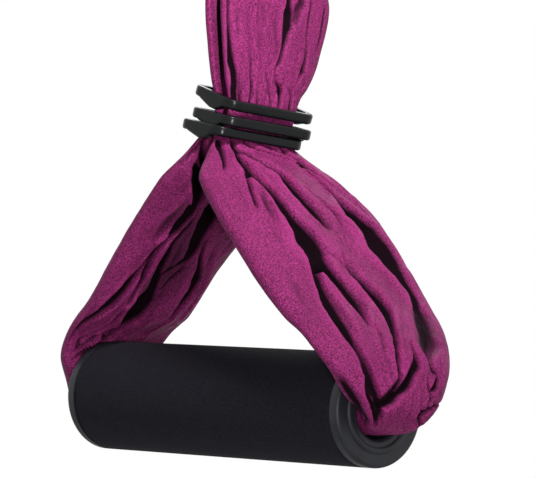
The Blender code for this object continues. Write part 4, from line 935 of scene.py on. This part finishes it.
class GRIP_OT_cloth_in_grip(bpy.types.Operator):
    """Fold the band through the tube of the grip"""

    bl_idname = "grip.cloth_in_grip"
    bl_label = "Cloth in the grip"

    def execute(self, context):
        low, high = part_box("band_in_grip")
        centre = (low + high) / 2
        radius = (high.z - low.z) / 2 - 0.6 * MM
        # the cloth runs to and fro across the round bundle in eight slightly wavy layers
        layers, bends, wave = 8, 9, 0.2 * MM
        points = []
        for layer in range(layers):
            height = radius * (2 * (layer + 0.5) / layers - 1)
            half = math.sqrt(radius ** 2 - height ** 2) * 0.93
            row = [(half * (2 * k / bends - 1), height + wave * math.sin(k * 1.9 + layer))
                   for k in range(bends + 1)]
            points += row if layer % 2 == 0 else row[::-1]
        xs = np.linspace(low.x, high.x, 40)
        mesh = bpy.data.meshes.new("cloth_in_grip")
        vertices = [(x, centre.y + y, centre.z + z) for x in xs for y, z in points]
        mesh.from_pydata(vertices, [], grid_faces(len(xs), len(points), False))
        run = distances(points)
        piece = cloth_piece("cloth_in_grip", mesh, len(points), lambda row, column: (run[column], xs[row]))
        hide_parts("band_in_grip")
        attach(piece, "sling")
        return {"FINISHED"}


def select_only(piece):
    """Select one piece and make it the active one."""
    bpy.ops.object.select_all(action="DESELECT")
    piece.select_set(True)
    bpy.context.view_layer.objects.active = piece


def edit(piece, kind="VERT", pick=lambda part: True):
    """Enter edit mode on one piece with the points, edges or faces that pick chooses selected."""
    select_only(piece)
    bpy.ops.object.mode_set(mode="EDIT")
    bpy.ops.mesh.select_mode(type=kind)
    bpy.ops.mesh.select_all(action="DESELECT")
    shape = bmesh.from_edit_mesh(piece.data)
    for part in {"FACE": shape.faces, "EDGE": shape.edges, "VERT": shape.verts}[kind]:
        if pick(part):
            part.select_set(True)
    shape.select_flush_mode()
    bmesh.update_edit_mesh(piece.data)


def close_up(merge=0.0, fill=False):
    """Merge points, fill open ends, turn every face outward and leave edit mode."""
    if merge:
        bpy.ops.mesh.select_all(action="SELECT")
        bpy.ops.mesh.remove_doubles(threshold=merge)
    if fill:
        bpy.ops.mesh.select_all(action="SELECT")
        bpy.ops.mesh.fill_holes(sides=0)
    bpy.ops.mesh.select_all(action="SELECT")
    bpy.ops.mesh.normals_make_consistent(inside=False)
    bpy.ops.object.mode_set(mode="OBJECT")


def settle(piece, name):
    """Name a piece, put its place into its mesh and shade it."""
    piece.name = piece.data.name = name
    select_only(piece)
    bpy.ops.object.transform_apply(location=True, rotation=True, scale=True)
    bpy.ops.object.shade_smooth_by_angle(angle=math.radians(38))
    return piece


def spun(name, outline, centre, axis, steps):
    """Spin an outline of (along, radius) points about an axis through centre.

    An outline that starts off the axis is closed to make a sleeve, and one that starts on it is solid.
    """
    bpy.ops.object.select_all(action="DESELECT")
    bpy.ops.mesh.primitive_plane_add(size=MM, location=(0, 0, 0))
    piece = bpy.context.active_object
    edit(piece)
    bpy.ops.mesh.merge(type="CENTER")
    lift = Vector((0, 0, 1)) if axis == "X" else Vector((1, 0, 0))
    way = Vector((1, 0, 0)) if axis == "X" else Vector((0, 0, 1))
    corners = [centre + way * along + lift * radius for along, radius in outline]
    if outline[0][1] > 0:
        corners.append(corners[0])
    bpy.ops.transform.translate(value=corners[0])
    for before, after in zip(corners, corners[1:]):
        bpy.ops.mesh.extrude_vertices_move(TRANSFORM_OT_translate={"value": after - before})
    bpy.ops.mesh.select_all(action="SELECT")
    bpy.ops.mesh.remove_doubles(threshold=0.001 * MM)
    bpy.ops.mesh.select_all(action="SELECT")
    bpy.ops.mesh.spin(steps=steps, angle=math.tau, center=tuple(centre), axis=way, use_auto_merge=True)
    close_up(merge=0.002 * MM)
    return settle(piece, name)


def bend_points(along, radius, size, start, end, steps):
    """Return points on a rounded corner of an outline, from one angle to another in degrees."""
    turns = [math.radians(start + (end - start) * k / steps) for k in range(steps + 1)]
    return [(along + size * math.cos(turn), radius + size * math.sin(turn)) for turn in turns]


def rounded_outline(half, bore, outer, edge, steps, spans=1):
    """Return the outline of a turned sleeve or pin with rounded outer edges."""
    start, end = edge - half, half - edge
    middle = [(start + 2 * end * k / spans, outer) for k in range(1, spans)]
    low = bend_points(start, outer - edge, edge, 180, 90, steps)
    return [(-half, bore), *low, *middle, *bend_points(end, outer - edge, edge, 90, 0, steps), (half, bore)]


def rod(name, start, end, radius, centre, axis, steps):
    """Return a plain rod to cut a round hole with."""
    return spun(name, [(start, 0), (start, radius), (end, radius), (end, 0)], centre, axis, steps)


class GRIP_OT_foam(bpy.types.Operator):
    """Turn the foam sleeve with rounded ends"""

    bl_idname = "grip.foam"
    bl_label = "Foam sleeve"

    def execute(self, context):
        sizes = context.scene.grip_sizes
        outer, bore, edge = sizes.foam_diameter / 2, sizes.foam_bore / 2, sizes.foam_edge
        outline = rounded_outline(FOAM_HIGH.x, bore, outer, edge, 8, spans=40)
        piece = spun("foam_sleeve", outline, GRIP_CENTRE, "X", 144)
        put_finish(piece, "black_foam")
        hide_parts("foam_grip")
        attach(piece, "grip")
        return {"FINISHED"}


class GRIP_OT_caps(bpy.types.Operator):
    """Turn the two end caps with their lip and flared mouth"""

    bl_idname = "grip.caps"
    bl_label = "End caps"

    def execute(self, context):
        # the flange stands 0.3 mm off the foam's end and is 3.4 mm thick
        start, face = FOAM_HIGH.x + 0.0003, FOAM_HIGH.x + 0.0037
        inside, outer = CAP_LOW.x, (CAP_HIGH.z - CAP_LOW.z) / 2 + 0.00025
        spigot, bore, edge = 0.0099, 0.0086, 0.0012
        lip_radius, lip_half, lip_rise, flare, lip_steps = 0.0120, 0.0011, 0.0007, 0.0014, 12
        outline = [(inside, bore), (inside, spigot), (start, spigot), (start, outer)]
        outline += bend_points(face - edge, outer - edge, edge, 90, 0, 8)
        # the face is flat up to a low rounded lip, and the mouth behind the lip flares
        outline += [(face, lip_radius + lip_half + 0.0012)]
        for k in range(lip_steps + 1):
            turn = math.pi * k / lip_steps
            outline.append((face + lip_rise * math.sin(turn), lip_radius + lip_half * math.cos(turn)))
        outline += bend_points(face - flare, bore + flare, flare, 0, -90, 8)
        for name, side in (("cap_right", 1), ("cap_left", -1)):
            mirrored = [(side * along, radius) for along, radius in outline]
            piece = spun(name, mirrored, GRIP_CENTRE, "X", 144)
            put_finish(piece, "cap_plastic")
            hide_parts("end_" + name)
            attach(piece, "grip")
        return {"FINISHED"}


# How far each ring tilts along the grip and falls towards the front as it lies on the cloth, in degrees
RING_LIES = (("top", 16.5, 3.0), ("middle", 10.0, 3.0), ("bottom", 8.5, 3.0))
# A ring's short ends are thicker in their middle: places across them and how much, in millimetres
RING_SWELL = ((-5.2, 0.3), (-2.6, 0.8), (0.0, 1.0), (2.6, 0.8), (5.2, 0.3))


class GRIP_OT_rings(bpy.types.Operator):
    """Model one moulded ring and lay three copies on the cloth"""

    bl_idname = "grip.rings"
    bl_label = "Rings"

    def execute(self, context):
        width, length, height = 0.021, 0.036, 0.0033
        corner, wall, rounded_edge = 0.0046, 0.0026, 0.0008
        bpy.ops.object.select_all(action="DESELECT")
        bpy.ops.mesh.primitive_plane_add(size=1, location=(0, 0, -height / 2))
        first = context.active_object
        first.scale = (width, length, 1)
        bpy.ops.object.transform_apply(location=True, rotation=True, scale=True)
        edit(first)
        bpy.ops.mesh.bevel(offset=corner, offset_type="OFFSET", segments=12, affect="VERTICES")
        bpy.ops.mesh.select_mode(type="FACE")
        bpy.ops.mesh.select_all(action="SELECT")
        bpy.ops.mesh.inset(thickness=wall)
        bpy.ops.mesh.delete(type="FACE")
        bpy.ops.mesh.select_all(action="SELECT")
        bpy.ops.mesh.extrude_region_move(TRANSFORM_OT_translate={"value": (0, 0, height)})
        for place, drop in RING_SWELL:
            bpy.ops.mesh.select_all(action="SELECT")
            bpy.ops.mesh.bisect(plane_co=(place * MM, 0, 0), plane_no=(1, 0, 0))
            bpy.ops.object.mode_set(mode="OBJECT")
            edit(first, pick=lambda spot: abs(spot.co.x - place * MM) < 0.01 * MM and spot.co.z < 0)
            bpy.ops.transform.translate(value=(0, 0, -drop * MM))
        close_up()
        break_edges(first, rounded_edge, 5, 60)
        copies = [first, first.copy(), first.copy()]
        for piece in copies[1:]:
            piece.data = first.data.copy()
            context.collection.objects.link(piece)
        for piece, (name, tilt, fall) in zip(copies, RING_LIES):
            low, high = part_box(f"ring_{name}")
            piece.location = (low + high) / 2
            piece.rotation_euler = (math.radians(-fall), math.radians(tilt), 0.0)
            settle(piece, f"band_ring_{name}")
            put_finish(piece, "ring_plastic")
            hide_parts(f"ring_{name}")
            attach(piece, f"{name}_ring")
        return {"FINISHED"}


def apply_modifiers(piece):
    """Apply every modifier of a piece."""
    select_only(piece)
    for modifier in list(piece.modifiers):
        bpy.ops.object.modifier_apply(modifier=modifier.name)


def break_edges(piece, width, segments, least_degrees):
    """Round the edges of a piece that turn by more than an angle."""
    rounding = piece.modifiers.new("rounding", "BEVEL")
    rounding.width, rounding.segments, rounding.limit_method = width, segments, "ANGLE"
    rounding.angle_limit = math.radians(least_degrees)
    apply_modifiers(piece)


def carve(piece, *cutters):
    """Cut pieces out of a piece and remove the cutters."""
    for cutter in cutters:
        hole = piece.modifiers.new("hole", "BOOLEAN")
        hole.operation, hole.solver, hole.object = "DIFFERENCE", "EXACT", cutter
        apply_modifiers(piece)
        bpy.data.objects.remove(cutter, do_unlink=True)


# The snap hook's small sizes, in metres: how deep the gate's top end goes over the hook's nose, the running
# gap, how far cutters reach past what they cut, the radius of the pin's hole, and half the gate's slot
NOSE, GAP, OVERRUN, PIN_HOLE, HALF_SLOT = 0.005, 0.0003, 0.002, 0.0016, 0.0018


def gate_side_box(sizes, x_low, x_high, floor, ceiling):
    """Return a box to cut with, on the hook's gate side, between two widths and two heights."""
    reach = sizes.hook_wire / 2 + OVERRUN
    low = Vector((x_low, -sizes.hook_bend - reach, floor))
    high = Vector((x_high, -sizes.hook_bend + reach, ceiling))
    bpy.ops.mesh.primitive_cube_add(size=1, location=(low + high) / 2)
    cutter = bpy.context.active_object
    cutter.scale = high - low
    bpy.ops.object.transform_apply(location=True, rotation=True, scale=True)
    return cutter


class GRIP_OT_hook(bpy.types.Operator):
    """Bend the snap hook's wire, flatten its two tongues and fit the gate's pin"""

    bl_idname = "grip.hook"
    bl_label = "Snap hook"

    def execute(self, context):
        sizes = context.scene.grip_sizes
        radius, bend, tongue = sizes.hook_wire / 2, sizes.hook_bend, sizes.tongue / 2
        top, low = radius - bend, BAR_CENTRE.z + bend
        pivot, start, reach = GATE_PIVOT, GATE_PIVOT.z + radius, radius + OVERRUN
        bpy.ops.object.select_all(action="DESELECT")
        bpy.ops.mesh.primitive_circle_add(vertices=56, radius=radius, location=(0, -bend, start))
        body = context.active_object
        bpy.ops.object.transform_apply(location=True, rotation=True, scale=True)
        edit(body, "EDGE")
        bpy.ops.mesh.extrude_region_move(TRANSFORM_OT_translate={"value": (0, 0, low - start)})
        bpy.ops.mesh.spin(steps=40, angle=math.pi, center=(0, 0, low), axis=(-1, 0, 0))
        bpy.ops.mesh.extrude_region_move(TRANSFORM_OT_translate={"value": (0, 0, top - low)})
        bpy.ops.mesh.spin(steps=40, angle=math.pi, center=(0, 0, top), axis=(-1, 0, 0))
        bpy.ops.mesh.extrude_region_move(TRANSFORM_OT_translate={"value": (0, 0, -NOSE)})
        close_up(merge=0.001 * MM, fill=True)
        for side in (-1, 1):
            near, far = sorted((side * tongue, side * reach))
            carve(body, gate_side_box(sizes, near, far, pivot.z - radius - GAP, start + OVERRUN))
            carve(body, gate_side_box(sizes, near, far, top - NOSE - OVERRUN, top + GAP))
        # the lower tongue ends round about the pin, so that the gate can turn on it
        corners = gate_side_box(sizes, -reach, reach, pivot.z, start + OVERRUN)
        carve(corners, rod("round_end", -reach - MM, reach + MM, radius, pivot, "X", 96))
        carve(body, corners)
        break_edges(body, 0.2 * MM, 2, 50)
        carve(body, rod("tongue_hole", -reach, reach, PIN_HOLE, pivot, "X", 32))
        settle(body, "snap_hook_body")
        put_finish(body, "zinc_plated_steel_look")
        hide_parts("hook_body")
        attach(body, "hook")

        half, head, dome = radius - 0.0006, 0.0013, 0.0004
        pin = spun("snap_hook_pin", rounded_outline(half, 0, head, dome, 4), pivot, "X", 40)
        put_finish(pin, "zinc_plated_steel_look")
        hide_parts("gate_pin")
        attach(pin, "hook")
        return {"FINISHED"}


class GRIP_OT_gate(bpy.types.Operator):
    """Turn the hook's gate, slot it over both tongues, and fit its spring and plunger"""

    bl_idname = "grip.gate"
    bl_label = "Gate, spring and plunger"

    def execute(self, context):
        sizes = context.scene.grip_sizes
        radius, pivot, edge = sizes.hook_wire / 2, GATE_PIVOT, 0.0006
        reach, fork = radius + OVERRUN, pivot.z + radius + GAP
        ceiling = radius - sizes.hook_bend - 2 * GAP
        height, nose_floor = ceiling - pivot.z, ceiling - NOSE
        # a half ball round the pin, then a straight wire with a rounded top
        heel = [math.radians(degrees) for degrees in range(0, 91, 6)]
        outline = [(-radius * math.cos(turn), radius * math.sin(turn)) for turn in heel]
        outline += bend_points(height - edge, radius - edge, edge, 90, 0, 5) + [(height, 0)]
        gate = spun("snap_gate", outline, pivot, "Z", 56)
        carve(gate, gate_side_box(sizes, -HALF_SLOT, HALF_SLOT, pivot.z - reach, fork))
        carve(gate, gate_side_box(sizes, -HALF_SLOT, HALF_SLOT, nose_floor, ceiling + OVERRUN))
        break_edges(gate, 0.18 * MM, 2, 50)
        # the spring's bore runs up most of the solid stretch between the two slots
        bore = sizes.gate_bore / 2
        bore_top = radius + GAP + (nose_floor - fork) * 0.6
        carve(gate, rod("pin_hole", -reach, reach, PIN_HOLE, pivot, "X", 32))
        carve(gate, rod("bore", radius - HALF_SLOT, bore_top, bore, pivot, "Z", 40))
        settle(gate, "snap_gate")

        # the plunger's blunt tip presses on the tongue
        fit, long, tip = bore - GAP, 0.005, 0.0015
        outline = [(radius, 0), (radius, tip), (radius + edge, fit), (radius + long, fit), (radius + long, 0)]
        plunger = spun("snap_plunger", outline, pivot, "Z", 40)

        wire, coils, coil_steps = sizes.spring_wire / 2, 6, 28
        floor = pivot.z + radius + long + GAP + wire
        rise = pivot.z + bore_top - GAP - wire - floor
        bpy.ops.object.select_all(action="DESELECT")
        bpy.ops.mesh.primitive_circle_add(vertices=12, radius=wire, location=(fit - wire, 0, 0),
                                          rotation=(math.pi / 2, 0, 0))
        spring = context.active_object
        bpy.ops.object.transform_apply(location=True, rotation=True, scale=True)
        turns = spring.modifiers.new("turns", "SCREW")
        turns.axis, turns.angle, turns.iterations, turns.screw_offset = "Z", math.tau, coils, rise / coils
        turns.steps = turns.render_steps = coil_steps
        apply_modifiers(spring)
        edit(spring)
        close_up(fill=True)
        spring.location = (pivot.x, pivot.y, floor)
        settle(spring, "snap_spring")
        for piece, stands_for in ((gate, "hook_gate"), (plunger, "gate_plunger"), (spring, "gate_spring")):
            put_finish(piece, "zinc_plated_steel_look")
            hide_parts(stands_for)
            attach(piece, "gate")
        return {"FINISHED"}


class GRIP_OT_tube(bpy.types.Operator):
    """Turn the tube that carries the foam and the caps"""

    bl_idname = "grip.tube"
    bl_label = "Tube in the grip"

    def execute(self, context):
        low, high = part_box("core_tube")
        half, outer, wall, edge = (high.x - low.x) / 2, (high.z - low.z) / 2, 0.0018, 0.0004
        tube = spun("grip_tube", rounded_outline(half, outer - wall, outer, edge, 4), GRIP_CENTRE, "X", 72)
        put_finish(tube, "tube_plastic")
        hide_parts("core_tube")
        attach(tube, "grip")
        return {"FINISHED"}


# The camera's way round the grip and its tilt, in degrees
CAMERA_AZIMUTH, CAMERA_ROLL = 49.4, 3.43
# Its distance in metres and its lens in millimetres
CAMERA_DISTANCE, CAMERA_LENS = 1.354, 293.5
# Where it aims, to the right of and above the grip's middle, in metres
AIM_RIGHT, AIM_UP = 0.00886, 0.05066
# The floor's radius and height, in metres
FLOOR_RADIUS, FLOOR_Z = 0.62, -0.42
# Light that the world gives the object, and the floor's glow to the camera, where 1 is white
WORLD_LIGHT, FLOOR_GLOW = 0.17, 0.42


class GRIP_OT_stage(bpy.types.Operator):
    """Set the floor, the studio light and the camera at the photograph's angle"""

    bl_idname = "grip.stage"
    bl_label = "Stage"

    def execute(self, context):
        scene = context.scene
        scene.view_settings.view_transform = "Standard"
        azimuth, roll = math.radians(CAMERA_AZIMUTH), math.radians(CAMERA_ROLL)
        toward = Vector((math.sin(azimuth), -math.cos(azimuth), 0))
        level = Vector((math.cos(azimuth), math.sin(azimuth), 0))
        right = level * math.cos(roll) + Vector((0, 0, 1)) * math.sin(roll)
        up = Vector((0, 0, 1)) * math.cos(roll) - level * math.sin(roll)
        camera = bpy.data.objects.new("camera", bpy.data.cameras.new("camera"))
        context.collection.objects.link(camera)
        camera.location = GRIP_CENTRE + toward * CAMERA_DISTANCE
        back = (camera.location - (GRIP_CENTRE + right * AIM_RIGHT + up * AIM_UP)).normalized()
        across = up.cross(back).normalized()
        camera.rotation_euler = Matrix((across, back.cross(across), back)).transposed().to_euler()
        camera.data.sensor_width = 36.0
        camera.data.lens = CAMERA_LENS
        scene.camera = camera

        bpy.ops.object.select_all(action="DESELECT")
        bpy.ops.mesh.primitive_circle_add(vertices=96, radius=FLOOR_RADIUS, fill_type="NGON",
                                          location=(0, 0, FLOOR_Z))
        floor = context.active_object
        floor.name = "floor"
        floor.data.materials.append(new_material("pale_floor"))

        # a white world for the camera and in reflections, and a dim one as light
        world = bpy.data.worlds.new("studio")
        scene.world = world
        tree = empty_tree(world)
        rays = node(tree, "ShaderNodeLightPath")
        seen = rays["Is Camera Ray"]
        for ray in ("Is Glossy Ray", "Is Transmission Ray"):
            seen = node(tree, "ShaderNodeMath", {0: seen, 1: rays[ray]}, operation="MAXIMUM")["Value"]
        dim, white = (
            node(tree, "ShaderNodeBackground", {"Color": (1, 1, 1, 1), "Strength": strength})["Background"]
            for strength in (WORLD_LIGHT, 1.0))
        blend = node(tree, "ShaderNodeMixShader", {0: seen, 1: dim, 2: white})[0]
        node(tree, "ShaderNodeOutputWorld", {"Surface": blend})

        # each lamp's place from what it aims at, that target's height and the lamp's size, all in metres,
        # then its power in watts and its spread in degrees
        for name, place, target_z, size, power, spread in (
            ("key", toward * 0.30 + level * 0.05 + Vector((0, 0, 0.12)), 0.01, 0.10, 0.95, 115),
            ("side", Vector((1.0, -0.25, 0.25)), -0.13, 0.3, 1.0, 180),
            ("glint", toward * 1.1 + level * 0.10 + Vector((0, 0, -0.14)), -0.13, 0.12, 5.0, 180),
            ("back", -toward * 0.7 + Vector((0, 0, 0.6)), -0.13, 0.5, 3.0, 180),
        ):
            lamp = bpy.data.lights.new(name, "AREA")
            lamp.shape, lamp.size, lamp.energy, lamp.spread = "DISK", size, power, math.radians(spread)
            holder = bpy.data.objects.new(name, lamp)
            context.collection.objects.link(holder)
            holder.location = Vector((0, 0, target_z)) + place
            holder.rotation_euler = (-place).to_track_quat("-Z", "Y").to_euler()
        return {"FINISHED"}


class GRIP_PT_panel(bpy.types.Panel):
    """Lists the sizes, colours and builders of the hand grip"""

    bl_label = "Hand grip"
    bl_idname = "GRIP_PT_panel"
    bl_space_type = "VIEW_3D"
    bl_region_type = "UI"
    bl_category = "Hand grip"

    def draw(self, context):
        for settings in (context.scene.grip_sizes, context.scene.grip_colours):
            for name in type(settings).__annotations__:
                self.layout.prop(settings, name)
        for operator in OPERATORS:
            self.layout.operator(operator.bl_idname)


OPERATORS = (
    GRIP_OT_stage,
    GRIP_OT_cloth_legs,
    GRIP_OT_cloth_upper,
    GRIP_OT_cloth_in_grip,
    GRIP_OT_rings,
    GRIP_OT_foam,
    GRIP_OT_caps,
    GRIP_OT_tube,
    GRIP_OT_hook,
    GRIP_OT_gate,
)
CLASSES = (GripSizes, GripColours, *OPERATORS, GRIP_PT_panel)


def register():
    """Register the classes and give the scene its sizes and colours."""
    for item in CLASSES:
        bpy.utils.register_class(item)
    bpy.types.Scene.grip_sizes = bpy.props.PointerProperty(type=GripSizes)
    bpy.types.Scene.grip_colours = bpy.props.PointerProperty(type=GripColours)


def unregister():
    """Take the classes and the scene's settings away again."""
    del bpy.types.Scene.grip_colours
    del bpy.types.Scene.grip_sizes
    for item in reversed(CLASSES):
        bpy.utils.unregister_class(item)


def main():
    """Build the whole object."""
    register()
    bpy.ops.grip.stage()
    bpy.ops.grip.cloth_legs()
    bpy.ops.grip.cloth_upper()
    bpy.ops.grip.cloth_in_grip()
    bpy.ops.grip.rings()
    bpy.ops.grip.foam()
    bpy.ops.grip.caps()
    bpy.ops.grip.tube()
    bpy.ops.grip.hook()
    bpy.ops.grip.gate()


if __name__ == "__main__":
    main()
